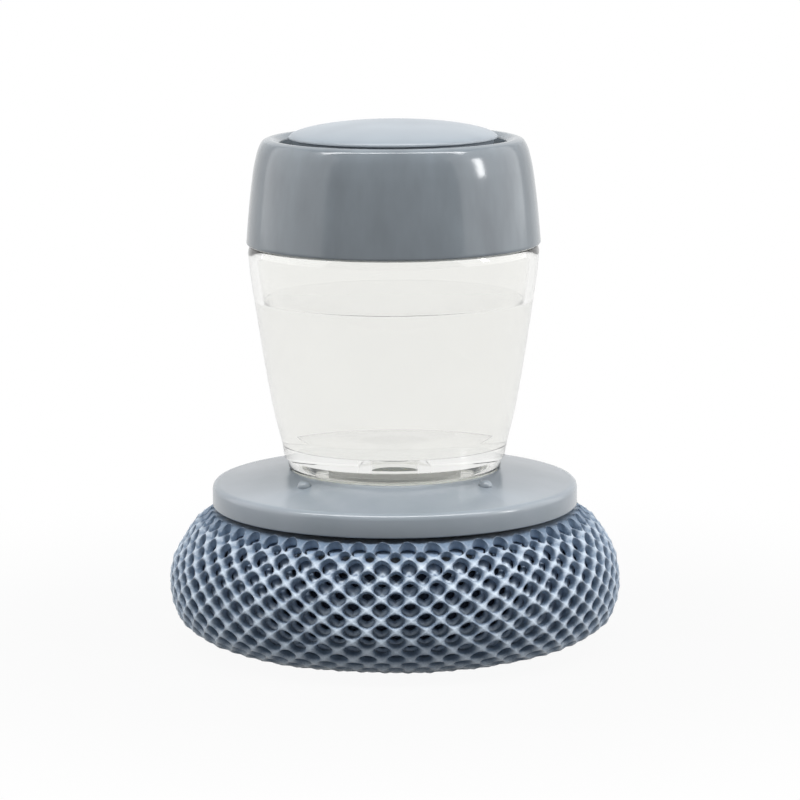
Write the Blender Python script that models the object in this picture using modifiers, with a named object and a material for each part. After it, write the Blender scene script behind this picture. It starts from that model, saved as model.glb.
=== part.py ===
"""Palm brush with a soap reservoir and a press button, modelled piece by piece.

The brush stands on its net pad with the Z axis through all of its turned pieces.
Z is up, X is to the right and -Y is the front. Every length is in metres.
From the table up: net pad, head disc, clear reservoir, cap with an air pump, press button.
Pressing the button pumps air into the reservoir, and the soap leaves through the slit
valve in its floor. The cap and the head are screwed on, to refill it and to change the pad.
"""

import math

import bmesh
import bpy
from mathutils import Matrix, Vector

# Fits shared by all pieces
CLEARANCE = 0.0003
RUNNING_PLAY = 0.0004
OVERRUN = 0.0010
MERGE_DISTANCE = 0.00001

# Net pad, with its two net layers and the foam inside
PAD_RADIUS = 0.04435
PAD_HEIGHT = 0.02635
PAD_CONTACT_RADIUS = 0.0290
PAD_SHOULDER_OVERHANG = 0.00025
PAD_UPPER_SHARES = ((0.24, 0.948), (0.52, 0.848), (0.78, 0.725), (0.94, 0.603), (1.0, 0.421))
PAD_LOWER_SHARES = ((0.95, 0.265), (0.85, 0.159), (0.65, 0.080), (0.39, 0.031))
NET_WALL = 0.0025
NET_COLUMNS = 32
NET_ROWS = 5
STRAND_WIDTH = 0.0022
CELL_DEPTH = 0.0016
INNER_NET_WALL = 0.0014
FOAM_TOP_DROP = 0.0065
FOAM_WICK_PLAY = 0.0010
FOAM_WICK_DROP = 0.0010
FOAM_EDGE_ROUND = 0.0022
HEM_CORD_RADIUS = 0.00045
HEM_CORD_POINTS = 20

# Head disc
DISC_RADIUS = 0.03575
DISC_SIDE_HEIGHT = 0.00405
DISC_RISE = 0.0033
DISC_EDGE_ROUND = 0.0012
DISC_SKIN = 0.0018
DISC_RIM_WALL = 0.0021
BUMP_SET_OUT = 0.00365
BUMP_RADIUS = 0.00135
BUMP_HEIGHT = 0.0011
BUMP_COUNT = 4
BUMP_FIRST_ANGLE = math.radians(45)
BOSS_RADIUS = 0.0029
SOCKET_WALL = 0.0020
SOCKET_LIP = 0.0008

# Clamp plate and its screws
PLATE_HEM_SHARE = 0.33
PLATE_BORE_RADIUS = 0.0135
PLATE_THICKNESS = 0.0020
SCREW_SHANK_RADIUS = 0.00075
SCREW_HEAD_RADIUS = 0.0021
SCREW_HEAD_HEIGHT = 0.0012
SCREW_RECESS_DEPTH = 0.0006
SCREW_RECESS_SHARE = 0.45
SCREW_LENGTH = 0.0095

# Reservoir
FOOT_RADIUS = 0.02085
FOOT_HEIGHT = 0.0021
FOOT_WALL = 0.0023
FOOT_STEP = 0.00075
RESERVOIR_TOP_RADIUS = 0.0283
RESERVOIR_BODY_HEIGHT = 0.0415
RESERVOIR_SIDE_SHARES = (
    (0.0, 0.0), (0.07, 0.08), (0.20, 0.28), (0.40, 0.51), (0.63, 0.73), (0.86, 0.94), (0.97, 1.0),
)
RESERVOIR_WALL = 0.0018
RESERVOIR_SHOULDER_ROUND = 0.0004
FLOOR_THICKNESS = 0.0030
FLOOR_RAISE = 0.0017
OUTLET_RADIUS = 0.0045
NECK_SET_IN = 0.0030
NECK_WALL = 0.0019
NECK_HEIGHT = 0.0088
SPIGOT_SET_IN = 0.00555
SPIGOT_WALL = 0.0023
SPIGOT_LENGTH = 0.0063

# Screw threads: one helical ridge on each side, half a pitch apart
CAP_THREAD_PITCH = 0.0040
CAP_THREAD_WIDTH = 0.0012
HEAD_THREAD_PITCH = 0.0030
HEAD_THREAD_WIDTH = 0.0010
THREAD_HEIGHT = 0.0010
THREAD_PLAY = 0.0005
THREAD_ROOT = 0.0004
THREAD_CREST_SHARE = 0.5
THREAD_LEAD_IN = 0.0012
THREAD_TURNS = 1
THREAD_STEPS = 24

# Outlet valve and its retainer
VALVE_OVERLAP = 0.0005
VALVE_FLANGE_WIDTH = 0.0035
VALVE_FLANGE_THICKNESS = 0.0008
VALVE_DOME_DEPTH = 0.0020
VALVE_WALL = 0.0008
SLIT_WIDTH = 0.0003
RETAINER_THICKNESS = 0.0026

# Seals
BASE_SEAL_SET_IN = 0.00055
BASE_SEAL_THICKNESS = 0.0007
GASKET_THICKNESS = 0.0008

# Cap
PARTING_GAP = 0.0003
CAP_OVERHANG = 0.0003
CAP_DRAW_IN = 0.0030
CAP_SIDE_SHARES = (
    (0.0, 0.0), (0.215, 0.12), (0.44, 0.27), (0.68, 0.48), (0.79, 0.62), (0.89, 0.80), (0.955, 1.0),
)
CAP_INNER_SHARES = (0.87, 0.65, 0.42)
CAP_WALL = 0.0016
CAP_RIM_SET_IN = 0.0044
CAP_RIM_WIDTH = 0.0008
CAP_RIM_ROUND_SHARE = 0.984
CAP_RIM_SWELL = 0.0002
CAP_CHAMFER = 0.0008
WELL_DEPTH = 0.00905
WELL_SET_IN = 0.0022
WELL_WALL = 0.0012

# Air pump
DECK_THICKNESS = 0.0014
DECK_MARGIN = 0.0007
DECK_COLLAR_WALL = 0.0010
DECK_COLLAR_HEIGHT = 0.0020
CYLINDER_WALL = 0.0015
CYLINDER_FLOOR = 0.0012
VENT_RADIUS = 0.0006
VENT_SET_IN = 0.0012
VENT_COUNT = 4
UMBRELLA_RADIUS = 0.0042
UMBRELLA_THICKNESS = 0.0005
UMBRELLA_STEM_RADIUS = 0.0009
UMBRELLA_BULB_RADIUS = 0.0016
UMBRELLA_BULB_HEIGHT = 0.0005
GUIDE_SPRING_GAP = 0.00085
GUIDE_FLANGE_WIDTH = 0.0021
GUIDE_FLANGE_THICKNESS = 0.0012
GUIDE_SPIGOT_LENGTH = 0.0015
PISTON_HEIGHT = 0.0024
PISTON_FLOOR_GAP = 0.0005
PISTON_FLANGE = 0.0006
PISTON_GROOVE_DEPTH = 0.0015
PISTON_RECESS_PLAY = 0.0014
PISTON_RECESS_DEPTH = 0.0009
LIP_REACH = 0.0002

# Press button and its spring
BUTTON_GAP = 0.0018
BUTTON_STROKE = 0.0045
BUTTON_EDGE_STAND = 0.00025
BUTTON_DOME_RISE = 0.00305
BUTTON_DOME_FULLNESS = 0.57
BUTTON_EDGE_ROUND = 0.0008
BUTTON_WALL = 0.0016
BUTTON_DOME_SHARES = (0.0, 0.3, 0.6, 0.8, 0.9)
STEM_RADIUS_SHARE = 0.525
STEM_SPIGOT_SHARE = 0.48
STEM_SPIGOT_LENGTH = 0.0011
SPRING_RADIUS_SHARE = 0.64
SPRING_WIRE = 0.0009
SPRING_TURNS = 4
SPRING_POINTS_PER_TURN = 10
SPRING_SEAT_MARGIN = 0.0009

# Facets round each kind of turned piece
LARGE_SEGMENTS = 36
MEDIUM_SEGMENTS = 24
SMALL_SEGMENTS = 12
EDGE_STEPS = 3

# Heights above the table, each from the piece below it
DISC_BOTTOM = PAD_HEIGHT + CLEARANCE
DISC_CREASE = DISC_BOTTOM + DISC_SIDE_HEIGHT
DISC_TOP = DISC_CREASE + DISC_RISE
FOOT_BOTTOM = DISC_TOP + CLEARANCE
FOOT_TOP = FOOT_BOTTOM + FOOT_HEIGHT
FLOOR_BOTTOM = FOOT_BOTTOM + FLOOR_RAISE
FLOOR_TOP = FLOOR_BOTTOM + FLOOR_THICKNESS
SPIGOT_BOTTOM = FOOT_BOTTOM - SPIGOT_LENGTH
SHOULDER = FOOT_TOP + RESERVOIR_BODY_HEIGHT
NECK_RIM = SHOULDER + NECK_HEIGHT
CAP_BOTTOM = SHOULDER + PARTING_GAP
GASKET_BOTTOM = NECK_RIM + CLEARANCE
DECK_BOTTOM = GASKET_BOTTOM + GASKET_THICKNESS + CLEARANCE
DECK_TOP = DECK_BOTTOM + DECK_THICKNESS
CAP_TOP = DECK_TOP + WELL_DEPTH
CAP_HEIGHT = CAP_TOP - CAP_BOTTOM
PISTON_TOP = DECK_TOP - GUIDE_SPIGOT_LENGTH
PISTON_BOTTOM = PISTON_TOP - PISTON_HEIGHT
CYLINDER_FLOOR_TOP = PISTON_BOTTOM - BUTTON_STROKE - PISTON_FLOOR_GAP
CYLINDER_BOTTOM = CYLINDER_FLOOR_TOP - CYLINDER_FLOOR
BUTTON_EDGE = CAP_TOP + BUTTON_EDGE_STAND
SKIRT_BOTTOM = DECK_TOP + BUTTON_STROKE + RUNNING_PLAY
PLATE_TOP = PAD_HEIGHT - NET_WALL - CLEARANCE
PLATE_BOTTOM = PLATE_TOP - PLATE_THICKNESS
SCREW_SEAT = PLATE_BOTTOM - CLEARANCE

# Radii of the head, each from the piece that it meets
PAD_SHOULDER_RADIUS = DISC_RADIUS + PAD_SHOULDER_OVERHANG
FOAM_WICK_RADIUS = PLATE_BORE_RADIUS - FOAM_WICK_PLAY
SCREW_HOLE_RADIUS = SCREW_SHANK_RADIUS + CLEARANCE
BUMP_PITCH_RADIUS = FOOT_RADIUS + BUMP_SET_OUT
NET_MOUTH_RADIUS = BUMP_PITCH_RADIUS + BOSS_RADIUS + 2 * HEM_CORD_RADIUS + CLEARANCE + RUNNING_PLAY
PLATE_RADIUS = NET_MOUTH_RADIUS + (PAD_RADIUS - NET_WALL - NET_MOUTH_RADIUS) * PLATE_HEM_SHARE

# Radii of the reservoir and of what it screws into
RESERVOIR_BASE_RADIUS = FOOT_RADIUS + FOOT_STEP
SPIGOT_RADIUS = FOOT_RADIUS - SPIGOT_SET_IN
NECK_RADIUS = RESERVOIR_TOP_RADIUS - NECK_SET_IN
SOCKET_RADIUS = SPIGOT_RADIUS + THREAD_HEIGHT + THREAD_PLAY
BASE_SEAL_INNER_RADIUS = SOCKET_RADIUS + SOCKET_LIP + CLEARANCE
BASE_SEAL_OUTER_RADIUS = FOOT_RADIUS - BASE_SEAL_SET_IN
VALVE_DOME_RADIUS = OUTLET_RADIUS + VALVE_OVERLAP
VALVE_FLANGE_RADIUS = VALVE_DOME_RADIUS + VALVE_FLANGE_WIDTH
SLIT_LENGTH = 2 * (VALVE_DOME_RADIUS - 2 * VALVE_WALL) - VALVE_WALL
CAP_BORE_RADIUS = NECK_RADIUS + THREAD_HEIGHT + THREAD_PLAY

# Radii of the cap, the button and the pump, from the reservoir's shoulder inwards
CAP_RADIUS = RESERVOIR_TOP_RADIUS + CAP_OVERHANG
CAP_RIM_RADIUS = CAP_RADIUS - CAP_RIM_SET_IN
WELL_RADIUS = CAP_RIM_RADIUS - WELL_SET_IN
BUTTON_RADIUS = WELL_RADIUS - BUTTON_GAP
SPRING_RADIUS = BUTTON_RADIUS * SPRING_RADIUS_SHARE
GUIDE_FLANGE_RADIUS = SPRING_RADIUS - SPRING_WIRE / 2 - GUIDE_SPRING_GAP
CYLINDER_RADIUS = GUIDE_FLANGE_RADIUS - GUIDE_FLANGE_WIDTH
STEM_RADIUS = CYLINDER_RADIUS * STEM_RADIUS_SHARE
STEM_SPIGOT_RADIUS = STEM_RADIUS * STEM_SPIGOT_SHARE
VENT_PITCH_RADIUS = UMBRELLA_RADIUS - VENT_SET_IN
PISTON_RECESS_RADIUS = UMBRELLA_BULB_RADIUS + PISTON_RECESS_PLAY


def linear(hex_colour):
    """Turn an sRGB hex colour into the linear values that a shader takes."""
    channels = [int(hex_colour[k:k + 2], 16) / 255 for k in (1, 3, 5)]
    return [c / 12.92 if c <= 0.04045 else ((c + 0.055) / 1.055) ** 2.4 for c in channels] + [1.0]


FINISHES = {
    "gloss_abs": {"colour": "#8A939C", "roughness": 0.18, "metallic": 0.0},
    "satin_abs": {"colour": "#A3ABB4", "roughness": 0.35, "metallic": 0.0},
    "clear_as": {"colour": "#EEF2F1", "roughness": 0.05, "metallic": 0.0, "transmission": 0.9},
    "white_pp": {"colour": "#E4E6E6", "roughness": 0.45, "metallic": 0.0},
    "silicone": {"colour": "#DADDD9", "roughness": 0.55, "metallic": 0.0},
    "spring_steel": {"colour": "#B9BCBF", "roughness": 0.30, "metallic": 1.0},
    "net_yarn": {"colour": "#8FA1BA", "roughness": 0.60, "metallic": 0.0},
    "foam": {"colour": "#5F6D84", "roughness": 0.95, "metallic": 0.0},
}


def clear_scene():
    """Remove every object that the open file holds."""
    for obj in list(bpy.data.objects):
        bpy.data.objects.remove(obj, do_unlink=True)


def new_collection(name):
    """Add a collection to the scene."""
    collection = bpy.data.collections.new(name)
    bpy.context.scene.collection.children.link(collection)
    return collection


def paint(obj, finish):
    """Give an object a material of its own in one of the finishes."""
    values = FINISHES[finish]
    material = bpy.data.materials.new(f"{obj.name}_{finish}")
    material.use_nodes = True
    shader = material.node_tree.nodes["Principled BSDF"]
    shader.inputs["Base Color"].default_value = linear(values["colour"])
    shader.inputs["Roughness"].default_value = values["roughness"]
    shader.inputs["Metallic"].default_value = values["metallic"]
    shader.inputs["Transmission Weight"].default_value = values.get("transmission", 0.0)
    obj.data.materials.append(material)


def add_frame(name, height, parent=None):
    """Add the empty that carries a sub-assembly, on the brush's axis."""
    frame = bpy.data.objects.new(name, None)
    frame.empty_display_size = PAD_RADIUS
    parts.objects.link(frame)
    frame.parent = parent
    frame.location.z = height - (world_height(parent) if parent else 0)
    return frame


def world_height(obj):
    """Height of an empty above the table, summed up its parents."""
    height = 0
    while obj:
        height += obj.location.z
        obj = obj.parent
    return height


def seat(obj, frame, finish):
    """Hang a finished piece, drawn in table heights, on its sub-assembly's empty."""
    parts.objects.link(obj)
    obj.parent = frame
    obj.location.z -= world_height(frame)
    paint(obj, finish)
    return obj


def keep_as_cutter(obj):
    """Put an object among the cutters, hidden from renders."""
    cutters.objects.link(obj)
    obj.hide_render = True
    obj.display_type = "WIRE"
    return obj


def combine(obj, tool, operation):
    """Cut a tool from a piece, or join it on, with an exact Boolean."""
    modifier = obj.modifiers.new(f"{operation.lower()}_{tool.name}", "BOOLEAN")
    modifier.operation = operation
    modifier.solver = "EXACT"
    modifier.object = tool


def rounded_edge(radius, top, rounding):
    """Points of a turned piece's upper outer edge, a quarter of a circle from its top to its side."""
    angles = [math.pi / 2 * (1 - k / EDGE_STEPS) for k in range(EDGE_STEPS + 1)]
    return [
        (radius - rounding + rounding * math.cos(angle), top - rounding + rounding * math.sin(angle))
        for angle in angles
    ]


def shifted(outline, distance):
    """Move a (radius, height) outline sideways, to the right of its direction of travel."""
    moved = []
    for k, point in enumerate(outline):
        before = outline[max(k - 1, 0)]
        after = outline[min(k + 1, len(outline) - 1)]
        run = Vector((after[0] - before[0], after[1] - before[1])).normalized()
        moved.append((point[0] + run.y * distance, point[1] - run.x * distance))
    return moved


def clipped(outline, top, bottom):
    """The stretch of a falling (radius, height) outline between two heights, cut level at both ends."""
    points = []
    for a, b in zip(outline, outline[1:]):
        for height in (top, bottom):
            if a[1] > height >= b[1]:
                share = (a[1] - height) / (a[1] - b[1])
                points.append((a[0] + (b[0] - a[0]) * share, height))
        if bottom < b[1] < top:
            points.append(b)
    return points


def along(outline, rows):
    """Points at equal steps of length along an outline, both ends included."""
    lengths = [math.dist(a, b) for a, b in zip(outline, outline[1:])]
    points = []
    for row in range(rows):
        rest = sum(lengths) * row / rows
        stretch = 0
        while rest > lengths[stretch]:
            rest -= lengths[stretch]
            stretch += 1
        a, b = outline[stretch], outline[stretch + 1]
        share = rest / lengths[stretch]
        points.append((a[0] + (b[0] - a[0]) * share, a[1] + (b[1] - a[1]) * share))
    return points + [outline[-1]]


def turned(name, profile, segments):
    """Turn a (radius, height) profile round the axis with a Screw modifier.

    The profile runs outwards over the top, down the outer side and back below.
    One that starts and ends on the axis stays open there, and any other is closed.
    """
    on_axis = profile[0][0] == 0 and profile[-1][0] == 0
    count = len(profile)
    edges = [(k, (k + 1) % count) for k in range(count - 1 if on_axis else count)]
    mesh = bpy.data.meshes.new(name)
    mesh.from_pydata([(radius, 0, height) for radius, height in profile], edges, [])
    obj = bpy.data.objects.new(name, mesh)
    screw = obj.modifiers.new("turn", "SCREW")
    screw.axis = "Z"
    screw.steps = segments
    screw.render_steps = segments
    screw.use_smooth_shade = True
    screw.use_merge_vertices = True
    screw.merge_threshold = MERGE_DISTANCE
    return obj


def ring_profile(inner, outer, bottom, top):
    """Profile of a plain ring."""
    return [(inner, top), (outer, top), (outer, bottom), (inner, bottom)]


def peg(name, radius, bottom, top, place, segments=SMALL_SEGMENTS, low_radius=None):
    """A round peg or hole at a place beside the axis, kept among the cutters."""
    mesh = bpy.data.meshes.new(name)
    shape = bmesh.new()
    bmesh.ops.create_cone(
        shape, cap_ends=True, segments=segments, radius1=low_radius or radius, radius2=radius,
        depth=top - bottom, matrix=Matrix.Translation((place.x, place.y, (top + bottom) / 2)),
    )
    shape.to_mesh(mesh)
    shape.free()
    return keep_as_cutter(bpy.data.objects.new(name, mesh))


def place_on_circle(radius, angle):
    """A point beside the axis, at an angle from +X."""
    return Vector((radius * math.cos(angle), radius * math.sin(angle), 0))


def helical_ridge(name, wall_radius, side, width, pitch, lowest, start_angle):
    """One turn or more of thread ridge, buried a little in the wall that carries it.

    side is 1 for a ridge on the outside of a wall and -1 for one inside a bore.
    """
    root = wall_radius - side * THREAD_ROOT
    crest = wall_radius + side * THREAD_HEIGHT
    crest_width = width * THREAD_CREST_SHARE
    corners = ((root, -width), (crest, -crest_width), (crest, crest_width), (root, width))
    shape = bmesh.new()
    turn = Matrix.Rotation(start_angle, 3, "Z")
    for radius, rise in corners:
        shape.verts.new(turn @ Vector((radius, 0, lowest + rise / 2)))
    bmesh.ops.contextual_create(shape, geom=shape.verts[:])
    steps = THREAD_STEPS * THREAD_TURNS
    bmesh.ops.spin(
        shape, geom=shape.verts[:] + shape.edges[:] + shape.faces[:], axis=(0, 0, 1),
        angle=math.tau * THREAD_TURNS, steps=steps, dvec=(0, 0, pitch / THREAD_STEPS),
    )
    bmesh.ops.recalc_face_normals(shape, faces=shape.faces[:])
    mesh = bpy.data.meshes.new(name)
    shape.to_mesh(mesh)
    shape.free()
    return keep_as_cutter(bpy.data.objects.new(name, mesh))


def pad_outline():
    """Side of the pad from its shoulder under the disc down to where it meets the table."""
    outline = [(PAD_SHOULDER_RADIUS, PAD_HEIGHT)]
    ends = ((PAD_SHOULDER_RADIUS, PAD_UPPER_SHARES), (PAD_CONTACT_RADIUS, PAD_LOWER_SHARES))
    for end_radius, shares in ends:
        bulge = PAD_RADIUS - end_radius
        outline += [(end_radius + bulge * out, PAD_HEIGHT * height) for out, height in shares]
    return outline + [(PAD_CONTACT_RADIUS, 0)]


def layer_outline(depth, top):
    """Side of a layer inside the pad, a depth below the pad's own surface, from a height down."""
    return clipped(shifted(pad_outline(), depth), top, depth)


def dome_height(radius):
    """Height of the button's dome above the table at a distance from the axis."""
    return BUTTON_EDGE + BUTTON_DOME_RISE * (1 - (radius / BUTTON_RADIUS) ** 2) ** BUTTON_DOME_FULLNESS


def disc_height(radius):
    """Height of the disc's shallow cone above the table at a distance from the axis."""
    crease_radius = DISC_RADIUS - DISC_EDGE_ROUND
    share = (radius - FOOT_RADIUS) / (crease_radius - FOOT_RADIUS)
    return DISC_TOP - DISC_RISE * max(share, 0)


def extrude_ring(shape, edges, radius, height):
    """Extrude a closed ring of edges and set the new ring's radius and height."""
    new = bmesh.ops.extrude_edge_only(shape, edges=edges)["geom"]
    for vert in (item for item in new if isinstance(item, bmesh.types.BMVert)):
        flat = vert.co.xy.normalized() * radius
        vert.co = (flat.x, flat.y, height)
    return [
        item for item in new
        if isinstance(item, bmesh.types.BMEdge) and all(v.co.z == item.verts[0].co.z for v in item.verts)
        and all(vert in new for vert in item.verts)
    ]


def net_rows():
    """Rings that the net's cells stand on: every second one carries the corners of the grid."""
    rows = along(pad_outline(), 2 * NET_ROWS)
    fullness = PAD_RADIUS / max(radius for radius, height in rows)
    return [rows[0]] + [(radius * fullness, height) for radius, height in rows[1:-1]] + [rows[-1]]


def sink_cells(shape, middle_rows):
    """Turn a grid of quads into staggered diamond cells with raised strands between them."""
    grid_edges = [edge for edge in shape.edges if not edge.is_boundary]
    for vert in bmesh.ops.poke(shape, faces=shape.faces[:])["verts"]:
        radius, height = min(middle_rows, key=lambda row: math.dist(row, (vert.co.xy.length, vert.co.z)))
        flat = vert.co.xy.normalized() * radius
        vert.co = (flat.x, flat.y, height)
    bmesh.ops.dissolve_edges(shape, edges=grid_edges)
    cells = [face for face in shape.faces if len(face.verts) == 4]
    bmesh.ops.inset_individual(
        shape, faces=cells, thickness=STRAND_WIDTH / 2, depth=-CELL_DEPTH, use_even_offset=True,
    )


def build_scrub_net(frame):
    """Outer net: a bag of staggered open cells, drawn in under the disc and flat below."""
    rows = net_rows()
    shape = bmesh.new()
    for radius, height in rows[::2]:
        shape.verts.new((radius, 0, height))
    shape.verts.ensure_lookup_table()
    for upper, lower in zip(shape.verts[:], shape.verts[1:]):
        shape.edges.new((upper, lower))
    bmesh.ops.spin(
        shape, geom=shape.verts[:] + shape.edges[:], axis=(0, 0, 1), angle=math.tau,
        steps=NET_COLUMNS, use_merge=True,
    )
    bmesh.ops.remove_doubles(shape, verts=shape.verts[:], dist=MERGE_DISTANCE)
    bmesh.ops.recalc_face_normals(shape, faces=shape.faces[:])
    if shape.faces[0].normal.dot(shape.faces[0].calc_center_median()) < 0:
        bmesh.ops.reverse_faces(shape, faces=shape.faces[:])
    sink_cells(shape, rows[1::2])
    rim = [edge for edge in shape.edges if edge.is_boundary]
    top = [edge for edge in rim if edge.verts[0].co.z > PAD_HEIGHT / 2]
    bottom = [edge for edge in rim if edge.verts[0].co.z < PAD_HEIGHT / 2]
    bmesh.ops.contextual_create(shape, geom=bottom)
    path = [(NET_MOUTH_RADIUS, PAD_HEIGHT), (NET_MOUTH_RADIUS, PAD_HEIGHT - NET_WALL)]
    path += layer_outline(NET_WALL, PAD_HEIGHT - NET_WALL)
    for radius, height in path:
        top = extrude_ring(shape, top, radius, height)
    bmesh.ops.contextual_create(shape, geom=top)
    bmesh.ops.recalc_face_normals(shape, faces=shape.faces[:])
    mesh = bpy.data.meshes.new("scrub_net")
    shape.to_mesh(mesh)
    shape.free()
    seat(bpy.data.objects.new("scrub_net", mesh), frame, "net_yarn")


def build_inner_net(frame):
    """Second net layer, a thinner bag between the outer net and the foam."""
    top = PLATE_BOTTOM - CLEARANCE
    floor = NET_WALL + CLEARANCE
    outer = layer_outline(floor, top) + [(0, floor)]
    inner = layer_outline(floor + INNER_NET_WALL, top) + [(0, floor + INNER_NET_WALL)]
    seat(turned("inner_net", inner[::-1] + outer, MEDIUM_SEGMENTS), frame, "net_yarn")


def build_foam_core(frame):
    """Foam pad that spreads the soap, with a wick up through the clamp plate."""
    depth = NET_WALL + INNER_NET_WALL + 2 * CLEARANCE
    top = PAD_HEIGHT - FOAM_TOP_DROP
    wick_top = SPIGOT_BOTTOM - FOAM_WICK_DROP
    side = layer_outline(depth, top - FOAM_EDGE_ROUND / 2)
    profile = [(0, wick_top), (FOAM_WICK_RADIUS - FOAM_EDGE_ROUND / 2, wick_top)]
    profile += [(FOAM_WICK_RADIUS, wick_top - FOAM_EDGE_ROUND / 2), (FOAM_WICK_RADIUS, top)]
    profile += [(side[0][0] - FOAM_EDGE_ROUND, top)] + side + [(0, depth)]
    seat(turned("foam_core", profile, MEDIUM_SEGMENTS), frame, "foam")


def build_hem_cord(frame):
    """Cord that gathers the net's mouth round the screw bosses."""
    curve = bpy.data.curves.new("hem_cord", "CURVE")
    curve.dimensions = "3D"
    curve.bevel_depth = HEM_CORD_RADIUS
    curve.bevel_resolution = 1
    spline = curve.splines.new("POLY")
    spline.points.add(HEM_CORD_POINTS - 1)
    spline.use_cyclic_u = True
    radius = NET_MOUTH_RADIUS - CLEARANCE - HEM_CORD_RADIUS
    height = PAD_HEIGHT - NET_WALL / 2
    for k, point in enumerate(spline.points):
        place = place_on_circle(radius, math.tau * k / HEM_CORD_POINTS)
        point.co = (place.x, place.y, height, 1)
    seat(bpy.data.objects.new("hem_cord", curve), frame, "net_yarn")


def screw_angles():
    """Angles of the bumps, and of the bosses and screws under them."""
    return [BUMP_FIRST_ANGLE + math.tau * k / BUMP_COUNT for k in range(BUMP_COUNT)]


def build_clamp_plate(frame):
    """Plate inside the pad that pulls the net's hem up against the disc."""
    profile = ring_profile(PLATE_BORE_RADIUS, PLATE_RADIUS, PLATE_BOTTOM, PLATE_TOP)
    plate = turned("net_clamp_plate", profile, LARGE_SEGMENTS)
    for k, angle in enumerate(screw_angles(), 1):
        place = place_on_circle(BUMP_PITCH_RADIUS, angle)
        hole = peg(f"plate_hole_{k}", SCREW_HOLE_RADIUS, PLATE_BOTTOM - OVERRUN, PLATE_TOP + OVERRUN, place)
        combine(plate, hole, "DIFFERENCE")
    seat(plate, frame, "white_pp")


def build_clamp_screws(frame):
    """Screws that hold the plate, driven up into the disc's bosses."""
    for k, angle in enumerate(screw_angles(), 1):
        name = f"clamp_screw_{k}"
        shape = bmesh.new()
        bmesh.ops.create_cone(
            shape, cap_ends=True, segments=SMALL_SEGMENTS, radius1=SCREW_HEAD_RADIUS,
            radius2=SCREW_HEAD_RADIUS, depth=SCREW_HEAD_HEIGHT,
            matrix=Matrix.Translation((0, 0, -SCREW_HEAD_HEIGHT / 2)),
        )
        upper = max(shape.faces, key=lambda face: face.calc_center_median().z)
        lower = min(shape.faces, key=lambda face: face.calc_center_median().z)
        bmesh.ops.inset_individual(
            shape, faces=[lower], thickness=SCREW_HEAD_RADIUS * (1 - SCREW_RECESS_SHARE),
        )
        bmesh.ops.translate(shape, verts=lower.verts, vec=(0, 0, SCREW_RECESS_DEPTH))
        bmesh.ops.inset_individual(shape, faces=[upper], thickness=SCREW_HEAD_RADIUS - SCREW_SHANK_RADIUS)
        shank = bmesh.ops.extrude_discrete_faces(shape, faces=[upper])["faces"][0]
        bmesh.ops.translate(shape, verts=shank.verts, vec=(0, 0, SCREW_LENGTH))
        mesh = bpy.data.meshes.new(name)
        shape.to_mesh(mesh)
        shape.free()
        screw = bpy.data.objects.new(name, mesh)
        screw.location = place_on_circle(BUMP_PITCH_RADIUS, angle)
        screw.location.z = SCREW_SEAT
        seat(screw, frame, "spring_steel")


def build_head_disc(frame):
    """Head disc: shallow cone with a rounded edge, a threaded socket and four bumps over its bosses."""
    edge = rounded_edge(DISC_RADIUS, DISC_CREASE, DISC_EDGE_ROUND)
    groove_inner = SOCKET_RADIUS + SOCKET_LIP
    groove_outer = BASE_SEAL_OUTER_RADIUS + CLEARANCE
    groove_bottom = DISC_TOP - CLEARANCE - BASE_SEAL_THICKNESS
    tube_radius = SOCKET_RADIUS + SOCKET_WALL
    rim_inner = DISC_RADIUS - DISC_RIM_WALL
    profile = [(SOCKET_RADIUS, DISC_TOP), (groove_inner, DISC_TOP), (groove_inner, groove_bottom)]
    profile += [(groove_outer, groove_bottom), (groove_outer, DISC_TOP), (FOOT_RADIUS, DISC_TOP)] + edge
    profile += [(DISC_RADIUS, DISC_BOTTOM), (rim_inner, DISC_BOTTOM)]
    profile += [(rim_inner, disc_height(rim_inner) - DISC_SKIN)]
    profile += [(groove_outer, groove_bottom - DISC_SKIN), (tube_radius, groove_bottom - DISC_SKIN)]
    profile += [(tube_radius, DISC_BOTTOM), (SOCKET_RADIUS, DISC_BOTTOM)]
    disc = turned("head_disc", profile, LARGE_SEGMENTS)
    ridge = helical_ridge(
        "socket_ridge", SOCKET_RADIUS, -1, HEAD_THREAD_WIDTH, HEAD_THREAD_PITCH,
        SPIGOT_BOTTOM + THREAD_LEAD_IN + THREAD_PLAY, math.pi,
    )
    combine(disc, ridge, "UNION")
    for k, angle in enumerate(screw_angles(), 1):
        place = place_on_circle(BUMP_PITCH_RADIUS, angle)
        skin_top = disc_height(BUMP_PITCH_RADIUS)
        boss = peg(f"boss_{k}", BOSS_RADIUS, PLATE_TOP + CLEARANCE, skin_top - DISC_SKIN / 2, place)
        combine(disc, boss, "UNION")
        combine(disc, bump(f"bump_{k}", place, skin_top), "UNION")
        hole_top = SCREW_SEAT + SCREW_LENGTH + CLEARANCE
        hole = peg(f"boss_hole_{k}", SCREW_HOLE_RADIUS, PLATE_TOP, hole_top, place)
        combine(disc, hole, "DIFFERENCE")
    seat(disc, frame, "satin_abs")


def bump(name, place, height):
    """Rounded bump that houses a screw's tip, half sunk in the disc's skin."""
    shape = bmesh.new()
    size = Matrix.Diagonal((BUMP_RADIUS, BUMP_RADIUS, BUMP_HEIGHT, 1))
    bmesh.ops.create_uvsphere(
        shape, u_segments=SMALL_SEGMENTS, v_segments=SMALL_SEGMENTS // 2, radius=1,
        matrix=Matrix.Translation((place.x, place.y, height)) @ size,
    )
    mesh = bpy.data.meshes.new(name)
    shape.to_mesh(mesh)
    shape.free()
    return keep_as_cutter(bpy.data.objects.new(name, mesh))


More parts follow.
